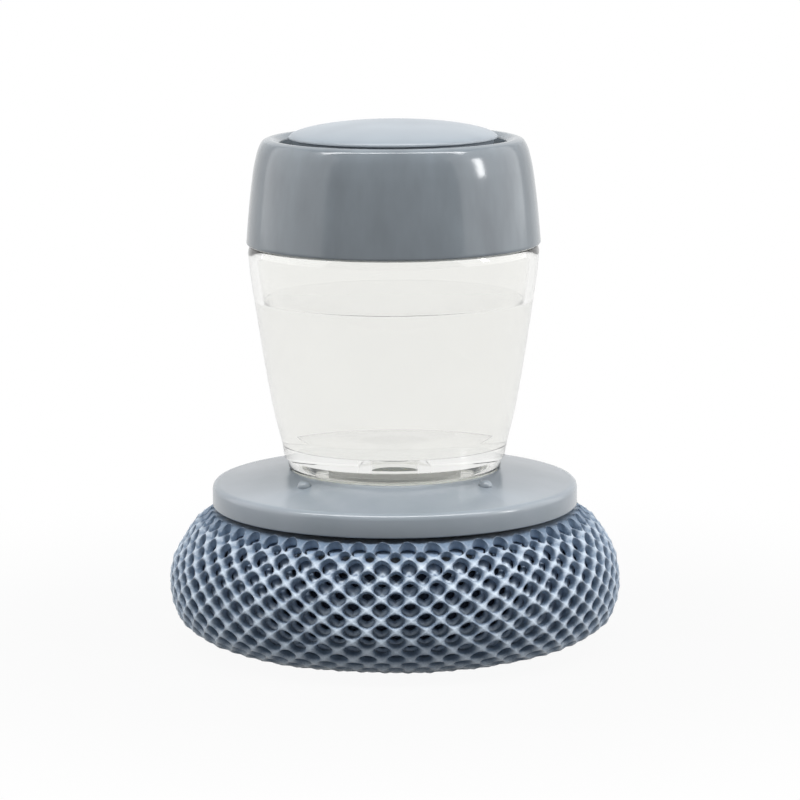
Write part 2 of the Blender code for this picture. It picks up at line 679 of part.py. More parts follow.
def build_base_seal(frame):
    """Flat seal in the disc's groove, under the reservoir's foot."""
    bottom = DISC_TOP - BASE_SEAL_THICKNESS
    profile = ring_profile(BASE_SEAL_INNER_RADIUS, BASE_SEAL_OUTER_RADIUS, bottom, DISC_TOP)
    seat(turned("base_seal", profile, LARGE_SEGMENTS), frame, "silicone")


def build_reservoir(frame):
    """Clear tapered reservoir with a threaded neck, a foot ring and a threaded spigot below."""
    swell = RESERVOIR_TOP_RADIUS - RESERVOIR_BASE_RADIUS
    rising = [
        (RESERVOIR_BASE_RADIUS + swell * r, FOOT_TOP + RESERVOIR_BODY_HEIGHT * h)
        for h, r in RESERVOIR_SIDE_SHARES
    ]
    side = rising[::-1]
    inside = [point for point in shifted(rising, -RESERVOIR_WALL) if point[1] > FLOOR_TOP + RESERVOIR_WALL]
    foot_inner = FOOT_RADIUS - FOOT_WALL
    spigot_inner = SPIGOT_RADIUS - SPIGOT_WALL
    neck_inner = NECK_RADIUS - NECK_WALL
    profile = [(neck_inner, NECK_RIM), (NECK_RADIUS, NECK_RIM), (NECK_RADIUS, SHOULDER)]
    profile += [(RESERVOIR_TOP_RADIUS - RESERVOIR_SHOULDER_ROUND, SHOULDER)] + side
    profile += [(FOOT_RADIUS, FOOT_TOP), (FOOT_RADIUS, FOOT_BOTTOM), (foot_inner, FOOT_BOTTOM)]
    profile += [(foot_inner, FLOOR_BOTTOM), (SPIGOT_RADIUS, FLOOR_BOTTOM), (SPIGOT_RADIUS, SPIGOT_BOTTOM)]
    profile += [(spigot_inner, SPIGOT_BOTTOM), (spigot_inner, FLOOR_BOTTOM), (OUTLET_RADIUS, FLOOR_BOTTOM)]
    profile += [(OUTLET_RADIUS, FLOOR_TOP), (inside[0][0] - RESERVOIR_WALL, FLOOR_TOP)] + inside
    profile += [(neck_inner, SHOULDER)]
    body = turned("reservoir", profile, LARGE_SEGMENTS)
    neck_ridge = helical_ridge(
        "neck_ridge", NECK_RADIUS, 1, CAP_THREAD_WIDTH, CAP_THREAD_PITCH,
        CAP_BOTTOM + THREAD_LEAD_IN, 0,
    )
    spigot_ridge = helical_ridge(
        "spigot_ridge", SPIGOT_RADIUS, 1, HEAD_THREAD_WIDTH, HEAD_THREAD_PITCH,
        SPIGOT_BOTTOM + THREAD_LEAD_IN + THREAD_PLAY, 0,
    )
    combine(body, neck_ridge, "UNION")
    combine(body, spigot_ridge, "UNION")
    seat(body, frame, "clear_as")


def slit(name, angle):
    """One blade of the cross slit in the outlet valve."""
    mesh = bpy.data.meshes.new(name)
    shape = bmesh.new()
    size = Matrix.Diagonal((SLIT_LENGTH, SLIT_WIDTH, 2 * VALVE_DOME_DEPTH, 1))
    centre = Matrix.Translation((0, 0, FLOOR_BOTTOM - VALVE_FLANGE_THICKNESS - VALVE_DOME_DEPTH))
    bmesh.ops.create_cube(shape, size=1, matrix=centre @ Matrix.Rotation(angle, 4, "Z") @ size)
    shape.to_mesh(mesh)
    shape.free()
    return keep_as_cutter(bpy.data.objects.new(name, mesh))


def build_outlet_valve(frame):
    """Slit valve under the reservoir's floor: it opens when the pump raises the pressure."""
    top = FLOOR_BOTTOM - CLEARANCE
    under = top - VALVE_FLANGE_THICKNESS
    dome_inner = VALVE_DOME_RADIUS - VALVE_WALL
    tip = under - VALVE_DOME_DEPTH
    profile = [(0, tip + VALVE_WALL), (dome_inner - VALVE_WALL, tip + VALVE_WALL), (dome_inner, under)]
    profile += [(dome_inner, top), (VALVE_FLANGE_RADIUS, top), (VALVE_FLANGE_RADIUS, under)]
    profile += [(VALVE_DOME_RADIUS, under), (VALVE_DOME_RADIUS - VALVE_WALL, tip), (0, tip)]
    valve = turned("outlet_valve", profile, MEDIUM_SEGMENTS)
    for name, angle in (("slit_across", 0), ("slit_along", math.pi / 2)):
        combine(valve, slit(name, angle), "DIFFERENCE")
    seat(valve, frame, "silicone")


def build_valve_retainer(frame):
    """Ring pressed into the spigot to hold the valve's flange."""
    top = FLOOR_BOTTOM - VALVE_FLANGE_THICKNESS - 2 * CLEARANCE
    outer = SPIGOT_RADIUS - SPIGOT_WALL - CLEARANCE
    inner = VALVE_DOME_RADIUS + CLEARANCE
    profile = ring_profile(inner, outer, top - RETAINER_THICKNESS, top)
    seat(turned("valve_retainer", profile, MEDIUM_SEGMENTS), frame, "white_pp")


def build_cap_gasket(frame):
    """Flat gasket between the neck's rim and the pump's deck."""
    top = GASKET_BOTTOM + GASKET_THICKNESS
    profile = ring_profile(NECK_RADIUS - NECK_WALL, NECK_RADIUS, GASKET_BOTTOM, top)
    seat(turned("cap_gasket", profile, LARGE_SEGMENTS), frame, "silicone")


def cap_radius(share):
    """Radius of the cap's outside at a share of its height."""
    for (low, a), (high, b) in zip(CAP_SIDE_SHARES, CAP_SIDE_SHARES[1:]):
        if share <= high:
            break
    return CAP_RADIUS - CAP_DRAW_IN * (a + (b - a) * (share - low) / (high - low))


def build_cap_shell(frame):
    """Cap: bulged outer wall, rounded shoulder, rim and the well that the button sinks into."""
    side = [(CAP_RADIUS - CAP_DRAW_IN * draw, CAP_BOTTOM + CAP_HEIGHT * h) for h, draw in CAP_SIDE_SHARES]
    well_outer = WELL_RADIUS + WELL_WALL
    bore_top = NECK_RIM + CLEARANCE
    inside = [(cap_radius(h) - CAP_WALL, CAP_BOTTOM + CAP_HEIGHT * h) for h in CAP_INNER_SHARES]
    inside = [point for point in inside if point[1] > bore_top]
    profile = [(WELL_RADIUS, CAP_TOP - CAP_CHAMFER), (CAP_RIM_RADIUS - CAP_RIM_WIDTH, CAP_TOP)]
    swell_radius = (CAP_RIM_RADIUS + side[-1][0]) / 2 + CAP_RIM_SWELL
    profile += [(CAP_RIM_RADIUS, CAP_TOP), (swell_radius, CAP_BOTTOM + CAP_HEIGHT * CAP_RIM_ROUND_SHARE)]
    profile += side[::-1] + [(CAP_BORE_RADIUS, CAP_BOTTOM), (CAP_BORE_RADIUS, bore_top)]
    profile += inside[::-1] + [(well_outer, inside[0][1] + CAP_WALL / 2)]
    profile += [(well_outer, DECK_TOP + CLEARANCE), (WELL_RADIUS, DECK_TOP + CLEARANCE)]
    shell = turned("cap_shell", profile, LARGE_SEGMENTS)
    ridge = helical_ridge(
        "cap_ridge", CAP_BORE_RADIUS, -1, CAP_THREAD_WIDTH, CAP_THREAD_PITCH,
        CAP_BOTTOM + THREAD_LEAD_IN, math.pi,
    )
    combine(shell, ridge, "UNION")
    seat(shell, frame, "gloss_abs")


def build_pump_body(frame):
    """Pump body: a deck pushed onto the cap's well, with the air cylinder hanging from it."""
    collar_inner = WELL_RADIUS + WELL_WALL + CLEARANCE
    collar_outer = collar_inner + DECK_COLLAR_WALL
    collar_top = DECK_TOP + DECK_COLLAR_HEIGHT
    deck_radius = collar_outer + DECK_MARGIN
    cylinder_outer = CYLINDER_RADIUS + CYLINDER_WALL
    stem_hole = UMBRELLA_STEM_RADIUS + CLEARANCE
    profile = [(CYLINDER_RADIUS, DECK_TOP), (collar_inner, DECK_TOP), (collar_inner, collar_top)]
    profile += [(collar_outer, collar_top), (collar_outer, DECK_TOP), (deck_radius, DECK_TOP)]
    profile += [(deck_radius, DECK_BOTTOM), (cylinder_outer, DECK_BOTTOM)]
    profile += [(cylinder_outer, CYLINDER_BOTTOM)]
    profile += [(stem_hole, CYLINDER_BOTTOM), (stem_hole, CYLINDER_FLOOR_TOP)]
    profile += [(CYLINDER_RADIUS, CYLINDER_FLOOR_TOP)]
    body = turned("pump_body", profile, MEDIUM_SEGMENTS)
    for k in range(VENT_COUNT):
        place = place_on_circle(VENT_PITCH_RADIUS, math.tau * k / VENT_COUNT)
        vent = peg(
            f"vent_{k + 1}", VENT_RADIUS, CYLINDER_BOTTOM - OVERRUN, CYLINDER_FLOOR_TOP + OVERRUN, place,
        )
        combine(body, vent, "DIFFERENCE")
    seat(body, frame, "white_pp")


def build_air_valve(frame):
    """Umbrella valve that lets the pump's air in and keeps the soap out."""
    cup_top = CYLINDER_BOTTOM - CLEARANCE
    bulb_bottom = CYLINDER_FLOOR_TOP + CLEARANCE
    bulb_top = bulb_bottom + UMBRELLA_BULB_HEIGHT
    cup_bottom = cup_top - UMBRELLA_THICKNESS
    profile = [(0, bulb_top), (UMBRELLA_STEM_RADIUS, bulb_top), (UMBRELLA_BULB_RADIUS, bulb_bottom)]
    profile += [(UMBRELLA_STEM_RADIUS, bulb_bottom), (UMBRELLA_STEM_RADIUS, cup_top)]
    profile += [(UMBRELLA_RADIUS, cup_top), (UMBRELLA_RADIUS, cup_top - UMBRELLA_THICKNESS / 2)]
    profile += [(UMBRELLA_STEM_RADIUS, cup_bottom), (0, cup_bottom)]
    seat(turned("air_valve", profile, SMALL_SEGMENTS), frame, "silicone")


def build_guide_ring(frame):
    """Ring in the cylinder's mouth that guides the button's stem and holds the piston in."""
    bore = STEM_RADIUS + RUNNING_PLAY
    spigot = CYLINDER_RADIUS - CLEARANCE
    under = DECK_TOP + CLEARANCE
    top = under + GUIDE_FLANGE_THICKNESS
    low = under - GUIDE_SPIGOT_LENGTH
    profile = [(bore, top), (GUIDE_FLANGE_RADIUS, top), (GUIDE_FLANGE_RADIUS, under), (spigot, under)]
    profile += [(spigot, low), (bore, low)]
    seat(turned("guide_ring", profile, MEDIUM_SEGMENTS), frame, "white_pp")


def build_piston(frame):
    """Piston on the foot of the button's stem, grooved for its seal and hollow below."""
    radius = CYLINDER_RADIUS - RUNNING_PLAY
    groove = radius - PISTON_GROOVE_DEPTH
    bore = STEM_SPIGOT_RADIUS + CLEARANCE
    bore_bottom = PISTON_TOP - STEM_SPIGOT_LENGTH
    recess_top = PISTON_BOTTOM + PISTON_RECESS_DEPTH
    profile = [(0, bore_bottom), (bore, bore_bottom), (bore, PISTON_TOP), (radius, PISTON_TOP)]
    profile += [(radius, PISTON_TOP - PISTON_FLANGE), (groove, PISTON_TOP - PISTON_FLANGE)]
    profile += [(groove, PISTON_BOTTOM + PISTON_FLANGE), (radius, PISTON_BOTTOM + PISTON_FLANGE)]
    profile += [(radius, PISTON_BOTTOM), (PISTON_RECESS_RADIUS, PISTON_BOTTOM)]
    profile += [(PISTON_RECESS_RADIUS, recess_top), (0, recess_top)]
    seat(turned("piston", profile, MEDIUM_SEGMENTS), frame, "white_pp")


def build_piston_seal(frame):
    """Lip seal in the piston's groove: it holds air on the way down and lets it past on the way up."""
    inner = CYLINDER_RADIUS - RUNNING_PLAY - PISTON_GROOVE_DEPTH + CLEARANCE
    outer = CYLINDER_RADIUS - RUNNING_PLAY
    bottom = PISTON_BOTTOM + PISTON_FLANGE + CLEARANCE
    top = PISTON_TOP - PISTON_FLANGE - CLEARANCE
    profile = [(inner, top), (outer - LIP_REACH, top), (outer + LIP_REACH, bottom), (inner, bottom)]
    seat(turned("piston_seal", profile, MEDIUM_SEGMENTS), frame, "silicone")


def build_press_button(frame):
    """Domed button with a skirt, a seat for the spring and a stem down to the piston."""
    edge = rounded_edge(BUTTON_RADIUS, dome_height(BUTTON_RADIUS - BUTTON_EDGE_ROUND), BUTTON_EDGE_ROUND)
    dome = [(BUTTON_RADIUS * share, dome_height(BUTTON_RADIUS * share)) for share in BUTTON_DOME_SHARES]
    skirt_inner = BUTTON_RADIUS - BUTTON_WALL
    seat_outer = SPRING_RADIUS + SPRING_WIRE / 2 + SPRING_SEAT_MARGIN
    seat_inner = SPRING_RADIUS - SPRING_WIRE / 2 - SPRING_SEAT_MARGIN
    stem_bottom = PISTON_TOP + CLEARANCE
    spigot_bottom = stem_bottom - STEM_SPIGOT_LENGTH
    profile = dome + edge + [(BUTTON_RADIUS, SKIRT_BOTTOM), (skirt_inner, SKIRT_BOTTOM)]
    profile += [(skirt_inner, dome_height(skirt_inner) - BUTTON_WALL), (seat_outer, spring_seat_height())]
    profile += [(seat_inner, spring_seat_height())]
    profile += [(seat_inner - BUTTON_WALL, dome_height(seat_inner) - BUTTON_WALL)]
    profile += [(STEM_RADIUS, dome_height(STEM_RADIUS) - BUTTON_WALL), (STEM_RADIUS, stem_bottom)]
    profile += [(STEM_SPIGOT_RADIUS, stem_bottom), (STEM_SPIGOT_RADIUS, spigot_bottom), (0, spigot_bottom)]
    seat(turned("press_button", profile, LARGE_SEGMENTS), frame, "satin_abs")


def spring_seat_height():
    """Height of the flat seat for the spring under the button's dome."""
    return dome_height(SPRING_RADIUS + SPRING_WIRE / 2 + SPRING_SEAT_MARGIN) - BUTTON_WALL


def spring_line():
    """Centre line of the return spring: a steady helix whose ends run on straight."""
    bottom = DECK_TOP + CLEARANCE + SPRING_WIRE / 2
    top = spring_seat_height() - CLEARANCE - SPRING_WIRE / 2
    count = SPRING_TURNS * SPRING_POINTS_PER_TURN
    line = []
    for k in range(count + 1):
        place = place_on_circle(SPRING_RADIUS, math.tau * k / SPRING_POINTS_PER_TURN)
        line.append(place + Vector((0, 0, bottom + (top - bottom) * k / count)))
    for end, direction, level in ((0, -1, bottom), (-1, 1, top)):
        tangent = Vector((-line[end].y, line[end].x, 0)).normalized() * direction
        straight = line[end] + tangent * SPRING_WIRE
        straight.z = level
        line.insert(0 if end == 0 else len(line), straight)
    return line


def least_gap(line, wire):
    """Least gap that a tube leaves to itself, measured between points more than half a turn apart."""
    apart = SPRING_POINTS_PER_TURN // 2
    pairs = ((a, b) for k, a in enumerate(line) for b in line[k + apart:])
    return min((a - b).length for a, b in pairs) - wire


def build_return_spring(frame):
    """Return spring round the guide ring, one unbroken wire."""
    line = spring_line()
    curve = bpy.data.curves.new("return_spring", "CURVE")
    curve.dimensions = "3D"
    curve.bevel_depth = SPRING_WIRE / 2
    curve.bevel_resolution = 1
    curve.use_fill_caps = True
    spline = curve.splines.new("POLY")
    spline.points.add(len(line) - 1)
    for point, place in zip(spline.points, line):
        point.co = (*place, 1)
    seat(bpy.data.objects.new("return_spring", curve), frame, "spring_steel")
    print(f"return spring: least gap to itself {least_gap(line, SPRING_WIRE) * 1000:.2f} mm")


clear_scene()
parts = new_collection("soap_palm_brush")
cutters = new_collection("cutters")

head = add_frame("head_frame", 0)
seal_carrier = add_frame("base_seal_frame", FOOT_BOTTOM, head)
bottle = add_frame("reservoir_frame", FOOT_BOTTOM, seal_carrier)
gasket_carrier = add_frame("cap_gasket_frame", CAP_BOTTOM, bottle)
cap = add_frame("cap_frame", CAP_BOTTOM, gasket_carrier)
button = add_frame("button_frame", BUTTON_EDGE, cap)

for build in (
    build_scrub_net, build_inner_net, build_foam_core, build_hem_cord,
    build_clamp_plate, build_clamp_screws, build_head_disc,
):
    build(head)
build_base_seal(seal_carrier)
for build in (build_reservoir, build_outlet_valve, build_valve_retainer):
    build(bottle)
build_cap_gasket(gasket_carrier)
for build in (build_cap_shell, build_pump_body, build_air_valve, build_guide_ring, build_return_spring):
    build(cap)
for build in (build_press_button, build_piston, build_piston_seal):
    build(button)
bpy.context.view_layer.update()
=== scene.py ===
"""Looks of the soap dispensing palm brush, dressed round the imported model.

The brush stands on its net pad with Z up through the press button, and -Y is the front.
Sizes are in millimetres until a mesh is made, and MM turns them into metres.
Each sub-assembly is a class that builds its meshes and gives them their finishes.
"""

import logging
import math
from dataclasses import dataclass
from enum import Enum

import bmesh
import bpy
from mathutils import Matrix, Vector, noise


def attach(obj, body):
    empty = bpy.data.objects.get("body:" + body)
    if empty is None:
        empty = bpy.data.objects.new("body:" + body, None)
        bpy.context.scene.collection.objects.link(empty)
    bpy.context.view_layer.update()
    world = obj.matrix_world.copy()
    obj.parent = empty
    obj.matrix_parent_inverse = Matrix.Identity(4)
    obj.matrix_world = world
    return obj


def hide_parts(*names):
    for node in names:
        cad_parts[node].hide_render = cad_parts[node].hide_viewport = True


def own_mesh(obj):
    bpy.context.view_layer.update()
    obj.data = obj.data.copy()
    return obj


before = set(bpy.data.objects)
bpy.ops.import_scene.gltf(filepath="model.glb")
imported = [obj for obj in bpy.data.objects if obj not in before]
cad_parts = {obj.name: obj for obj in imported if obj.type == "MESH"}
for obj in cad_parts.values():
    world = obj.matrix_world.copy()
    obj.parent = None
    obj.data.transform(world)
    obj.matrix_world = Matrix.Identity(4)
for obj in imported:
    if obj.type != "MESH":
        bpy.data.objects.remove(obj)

MM = 0.001
MERGE_MM = 0.01
ROUND_STEPS = 3
TURN_SEGMENTS = 128
SHARP_ANGLE = math.radians(32)
# Where the yarn lies, which sets its painted light and shade: 0 deep in a cell, CELL_EDGE on its rim, 1 on a
# knot
PAINTED_LIGHT_LAYER = "painted_light_share"
CELL_EDGE = 0.5
# Corners of a whole cell, and faces that meet on a knot
WHOLE_CELL = 8
# Kept on the net's vertices until the net has its thickness
OUT_LAYER = "way_out"
MIDDLE_LAYER = "cell_middle"
PLACE_LAYER = "outer_place"
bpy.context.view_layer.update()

log = logging.getLogger("brush")
logging.basicConfig(level=logging.INFO, format="%(name)s: %(message)s")


class Body(Enum):
    """The CAD bodies that pieces ride on."""

    HEAD = "head"
    BOTTLE = "bottle"
    CAP = "cap"
    BUTTON = "button"


class Slot(Enum):
    """The record's material slots."""

    GLOSS_ABS = "gloss_abs_grey"
    SATIN_ABS = "satin_abs_grey"
    CLEAR = "clear_as"
    SILICONE = "silicone"
    STEEL = "spring_steel"
    YARN = "net_yarn"
    FOAM = "foam"


# Materials


def linear(hex_colour: str) -> tuple[float, float, float, float]:
    """Turn an sRGB hex colour into the linear values that a shader takes."""
    channels = [int(hex_colour[k:k + 2], 16) / 255 for k in (1, 3, 5)]
    lit = [c / 12.92 if c <= 0.04045 else ((c + 0.055) / 1.055) ** 2.4 for c in channels]
    return (*lit, 1.0)


def add_node(tree: bpy.types.NodeTree, kind: str, inputs: dict | None = None, **settings) -> bpy.types.Node:
    """Add a shader node with its settings, values and links.

    Args:
        tree: Node tree that takes the node.
        kind: Type of the node, without the word ShaderNode.
        inputs: Value, or socket to link from, for each input by name or number.
        **settings: Properties of the node.

    Returns:
        The new node.
    """
    node = tree.nodes.new(f"ShaderNode{kind}")
    for name, value in settings.items():
        setattr(node, name, value)
    for key, value in (inputs or {}).items():
        if isinstance(value, bpy.types.NodeSocket):
            tree.links.new(value, node.inputs[key])
        else:
            node.inputs[key].default_value = value
    return node


def blank_material(name: str) -> tuple[bpy.types.Material, bpy.types.NodeTree, bpy.types.NodeSocket]:
    """Make a node material that has only its coordinates.

    Args:
        name: What the real material is.

    Returns:
        The material, its node tree and the Object coordinates.
    """
    material = bpy.data.materials.new(name)
    material.use_nodes = True
    tree = material.node_tree
    tree.nodes.clear()
    return material, tree, add_node(tree, "TexCoord").outputs["Object"]


def noise_at(
    tree: bpy.types.NodeTree, place: bpy.types.NodeSocket, size_mm: float, detail: float = 2.0,
) -> bpy.types.NodeSocket:
    """Noise whose blotches have a real size.

    Args:
        tree: Node tree that takes the nodes.
        place: Socket with the point's coordinates.
        size_mm: Size of one blotch.
        detail: Octaves of finer noise on top.

    Returns:
        The noise's value, from 0 to 1.
    """
    grain = add_node(tree, "TexNoise", {"Vector": place, "Scale": 1 / (size_mm * MM), "Detail": detail})
    return grain.outputs["Fac"]


def ranged(
    tree: bpy.types.NodeTree, value: bpy.types.NodeSocket, low: float, high: float,
) -> bpy.types.NodeSocket:
    """Spread the middle of a noise between two values."""
    spread = add_node(tree, "MapRange", {0: value, 1: 0.3, 2: 0.7, 3: low, 4: high})
    return spread.outputs[0]


def tinted(
    tree: bpy.types.NodeTree, share: bpy.types.NodeSocket, first: str, second: str,
) -> bpy.types.NodeSocket:
    """Blend between two hex colours by a share."""
    mix = add_node(tree, "Mix", {0: share, 6: linear(first), 7: linear(second)}, data_type="RGBA")
    return mix.outputs[2]


@dataclass(frozen=True)
class MouldedPlastic:
    """Opaque injection-moulded plastic, with faint flow marks and the mould's own grain; stretched upright,
    the flow marks are painted reflections as well.
    """

    name: str
    colour: str
    flow_and_reflection_colour: str
    roughness: tuple[float, float]
    flow_and_reflection_mm: float = 9.0
    reflection_streak_stretch: float = 1.0
    grain_mm: float = 0.5
    grain_depth_mm: float = 0.004
    ior: float = 1.53

    def material(self) -> bpy.types.Material:
        """Build the node material."""
        material, tree, place = blank_material(self.name)
        # Stretched upright on the cap, the flow marks also paint reflections into the colour
        drawn = add_node(tree, "Mapping", {"Vector": place, "Scale": (1, 1, 1 / self.reflection_streak_stretch)})
        flow_and_reflection = noise_at(tree, drawn.outputs[0], self.flow_and_reflection_mm, 3.0)
        haze = noise_at(tree, place, self.flow_and_reflection_mm * 2)
        grain = noise_at(tree, place, self.grain_mm)
        bump = add_node(tree, "Bump", {
            "Strength": 1.0, "Distance": self.grain_depth_mm * MM, "Height": grain,
        })
        shader = add_node(tree, "BsdfPrincipled", {
            "Base Color": tinted(tree, ranged(tree, flow_and_reflection, 0, 1), self.colour, self.flow_and_reflection_colour),
            "Roughness": ranged(tree, haze, *self.roughness), "IOR": self.ior, "Normal": bump.outputs[0],
        })
        add_node(tree, "OutputMaterial", {"Surface": shader.outputs[0]})
        return material


@dataclass(frozen=True)
class ClearPlastic:
    """Clear moulded styrene acrylonitrile: the eye sees through it, with bright thick edges."""

    name: str
    tint: str
    roughness: tuple[float, float]
    ior: float = 1.57
    wave_mm: float = 14.0
    wave_depth_mm: float = 0.006

    def material(self) -> bpy.types.Material:
        """Build the node material: lamps reach the soap through it."""
        material, tree, place = blank_material(self.name)
        wave = noise_at(tree, place, self.wave_mm, 1.0)
        bump = add_node(tree, "Bump", {"Strength": 1.0, "Distance": self.wave_depth_mm * MM, "Height": wave})
        glass = add_node(tree, "BsdfPrincipled", {
            "Base Color": linear(self.tint), "Transmission Weight": 1.0, "IOR": self.ior,
            "Roughness": ranged(tree, noise_at(tree, place, self.wave_mm / 2), *self.roughness),
            "Normal": bump.outputs[0],
        })
        open_air = add_node(tree, "BsdfTransparent", {"Color": linear(self.tint)})
        path = add_node(tree, "LightPath")
        through = add_node(tree, "Math", {
            0: path.outputs["Is Shadow Ray"], 1: path.outputs["Is Diffuse Ray"],
        }, operation="MAXIMUM")
        surface = add_node(tree, "MixShader", {
            0: through.outputs[0], 1: glass.outputs[0], 2: open_air.outputs[0],
        })
        add_node(tree, "OutputMaterial", {"Surface": surface.outputs[0]})
        return material


@dataclass(frozen=True)
class SoftTranslucent:
    """Milky soft silicone rubber: light blurs inside it."""

    name: str
    colour: str
    cloud_colour: str
    roughness: float
    ior: float
    scatter_mm: float
    cloud_mm: float

    def material(self) -> bpy.types.Material:
        """Build the node material."""
        material, tree, place = blank_material(self.name)
        cloud = noise_at(tree, place, self.cloud_mm)
        shader = add_node(tree, "BsdfPrincipled", {
            "Base Color": tinted(tree, ranged(tree, cloud, 0, 1), self.colour, self.cloud_colour),
            "Roughness": self.roughness, "IOR": self.ior,
            "Subsurface Weight": 0.6, "Subsurface Scale": self.scatter_mm * MM,
            "Subsurface Radius": (1.0, 0.95, 0.85),
        })
        add_node(tree, "OutputMaterial", {"Surface": shader.outputs[0]})
        return material


@dataclass(frozen=True)
class ClearLiquid:
    """Thin washing-up liquid: clear, with the faint cream tint and slow swirls of its soap."""

    name: str
    colour: str
    swirl_colour: str
    ior: float
    roughness: tuple[float, float]
    swirl_mm: float = 18.0

    def material(self) -> bpy.types.Material:
        """Build the node material."""
        material, tree, place = blank_material(self.name)
        swirl = noise_at(tree, place, self.swirl_mm, 3.0)
        shader = add_node(tree, "BsdfPrincipled", {
            "Base Color": tinted(tree, ranged(tree, swirl, 0, 1), self.colour, self.swirl_colour),
            "Roughness": ranged(tree, swirl, *self.roughness), "IOR": self.ior, "Transmission Weight": 1.0,
        })
        add_node(tree, "OutputMaterial", {"Surface": shader.outputs[0]})
        return material


@dataclass(frozen=True)
class DrawnWire:
    """Stainless wire, drawn through a die: bright metal with fine marks along it."""

    name: str
    colour: str
    roughness: tuple[float, float]
    mark_mm: float = 0.4

    def material(self) -> bpy.types.Material:
        """Build the node material."""
        material, tree, place = blank_material(self.name)
        marks = noise_at(tree, place, self.mark_mm, 4.0)
        shader = add_node(tree, "BsdfPrincipled", {
            "Base Color": linear(self.colour), "Metallic": 1.0,
            "Roughness": ranged(tree, marks, *self.roughness),
        })
        add_node(tree, "OutputMaterial", {"Surface": shader.outputs[0]})
        return material


@dataclass(frozen=True)
class KnittedYarn:
    """Knitted polyethylene yarn: thin shiny filaments, with a painted highlight on its knots and a painted
    tone deep in its cells, painted light in one layer and painted shade in the other.
    """

    name: str
    deep_painted_tone: str
    colour: str
    knot_painted_highlight: str
    roughness: tuple[float, float]
    filament_mm: float = 0.25
    filament_depth_mm: float = 0.06
    blotch_mm: float = 5.0
    sheen: float = 0.2

    def material(self) -> bpy.types.Material:
        """Build the node material. The filaments are drawn coarser than real, so that they show."""
        material, tree, place = blank_material(self.name)
        blotch = noise_at(tree, place, self.blotch_mm)
        fibre = noise_at(tree, place, self.filament_mm, 3.0)
        painted_light = add_node(tree, "Attribute", attribute_name=PAINTED_LIGHT_LAYER).outputs["Fac"]
        mottle = add_node(tree, "Mix", {0: 0.5, 2: blotch, 3: fibre})
        spread = add_node(tree, "MapRange", {0: mottle.outputs[0], 1: 0.3, 2: 0.7, 3: -0.15, 4: 0.15})
        uneven = add_node(tree, "Math", {0: spread.outputs[0], 1: painted_light}, operation="ADD", use_clamp=True)
        inner = add_node(tree, "MapRange", {0: uneven.outputs[0], 1: 0.0, 2: CELL_EDGE})
        outer = add_node(tree, "MapRange", {0: uneven.outputs[0], 1: CELL_EDGE, 2: 1.0})
        # Deep in a cell the colour turns to the painted tone, and on a knot to the painted highlight
        plain = tinted(tree, inner.outputs[0], self.deep_painted_tone, self.colour)
        paler = add_node(
            tree, "Mix", {0: outer.outputs[0], 6: plain, 7: linear(self.knot_painted_highlight)}, data_type="RGBA",
        )
        bump = add_node(tree, "Bump", {
            "Strength": 1.0, "Distance": self.filament_depth_mm * MM, "Height": fibre,
        })
        shader = add_node(tree, "BsdfPrincipled", {
            "Base Color": paler.outputs[2], "Roughness": ranged(tree, fibre, *self.roughness), "IOR": 1.51,
            "Sheen Weight": self.sheen, "Sheen Roughness": 0.4, "Normal": bump.outputs[0],
        })
        add_node(tree, "OutputMaterial", {"Surface": shader.outputs[0]})
        return material


@dataclass(frozen=True)
class CellFoam:
    """Open cell polyurethane foam: small pores all over, darkened by painted shade."""

    name: str
    colour: str
    pore_shade_colour: str
    pore_mm: float = 0.9

    def material(self) -> bpy.types.Material:
        """Build the node material."""
        material, tree, place = blank_material(self.name)
        pores = add_node(tree, "TexVoronoi", {"Vector": place, "Scale": 1 / (self.pore_mm * MM)})
        depth = pores.outputs["Distance"]
        bump = add_node(tree, "Bump", {"Strength": 1.0, "Distance": self.pore_mm / 2 * MM, "Height": depth})
        rough = add_node(tree, "MapRange", {0: depth, 3: 0.98, 4: 0.86})
        # The pores are darkened with painted shade
        shader = add_node(tree, "BsdfPrincipled", {
            "Base Color": tinted(tree, depth, self.pore_shade_colour, self.colour),
            "Roughness": rough.outputs[0], "Normal": bump.outputs[0],
        })
        add_node(tree, "OutputMaterial", {"Surface": shader.outputs[0]})
        return material


# A polished mould leaves the cap glossy, and its faint upright streaks are flow marks and painted reflections
GLOSS_ABS = MouldedPlastic("polished moulded ABS", "#778087", "#697178", (0.11, 0.18), 6.0, 3.0)
# A fine mould leaves the disc half glossy, with a very fine grain
SATIN_ABS = MouldedPlastic(
    "satin moulded ABS", "#8B939B", "#838C93", (0.18, 0.25), 12.0, grain_mm=0.35, grain_depth_mm=0.005,
)
# The button is moulded from a paler batch and feels a little softer
BUTTON_ABS = MouldedPlastic(
    "pale satin moulded ABS", "#8E979F", "#878F97", (0.28, 0.36), 12.0, grain_mm=0.35, grain_depth_mm=0.008,
)
# Unpigmented polypropylene is a dull milky white
WHITE_PP = MouldedPlastic("moulded natural polypropylene", "#E4E6E6", "#DADDDD", (0.38, 0.48), ior=1.49)
# Clear styrene acrylonitrile shines, and its thick edges look bright
CLEAR_SAN = ClearPlastic("clear moulded styrene acrylonitrile", "#F6F6F4", (0.0, 0.02))
# The reservoir's wall hides the soap's own bending of light, so the soap bends it little here
SOAP = ClearLiquid("washing-up liquid", "#FEFEFE", "#FBFBFB", 1.08, (0.0, 0.02))
# Silicone rubber is milky, with a soft dull shine
SILICONE = SoftTranslucent("moulded silicone rubber", "#DADDD9", "#D2D6D2", 0.45, 1.41, 1.0, 4.0)
# Wire drawn through a die shines, with fine marks along it
STEEL = DrawnWire("drawn stainless wire", "#C9CCCF", (0.18, 0.34))
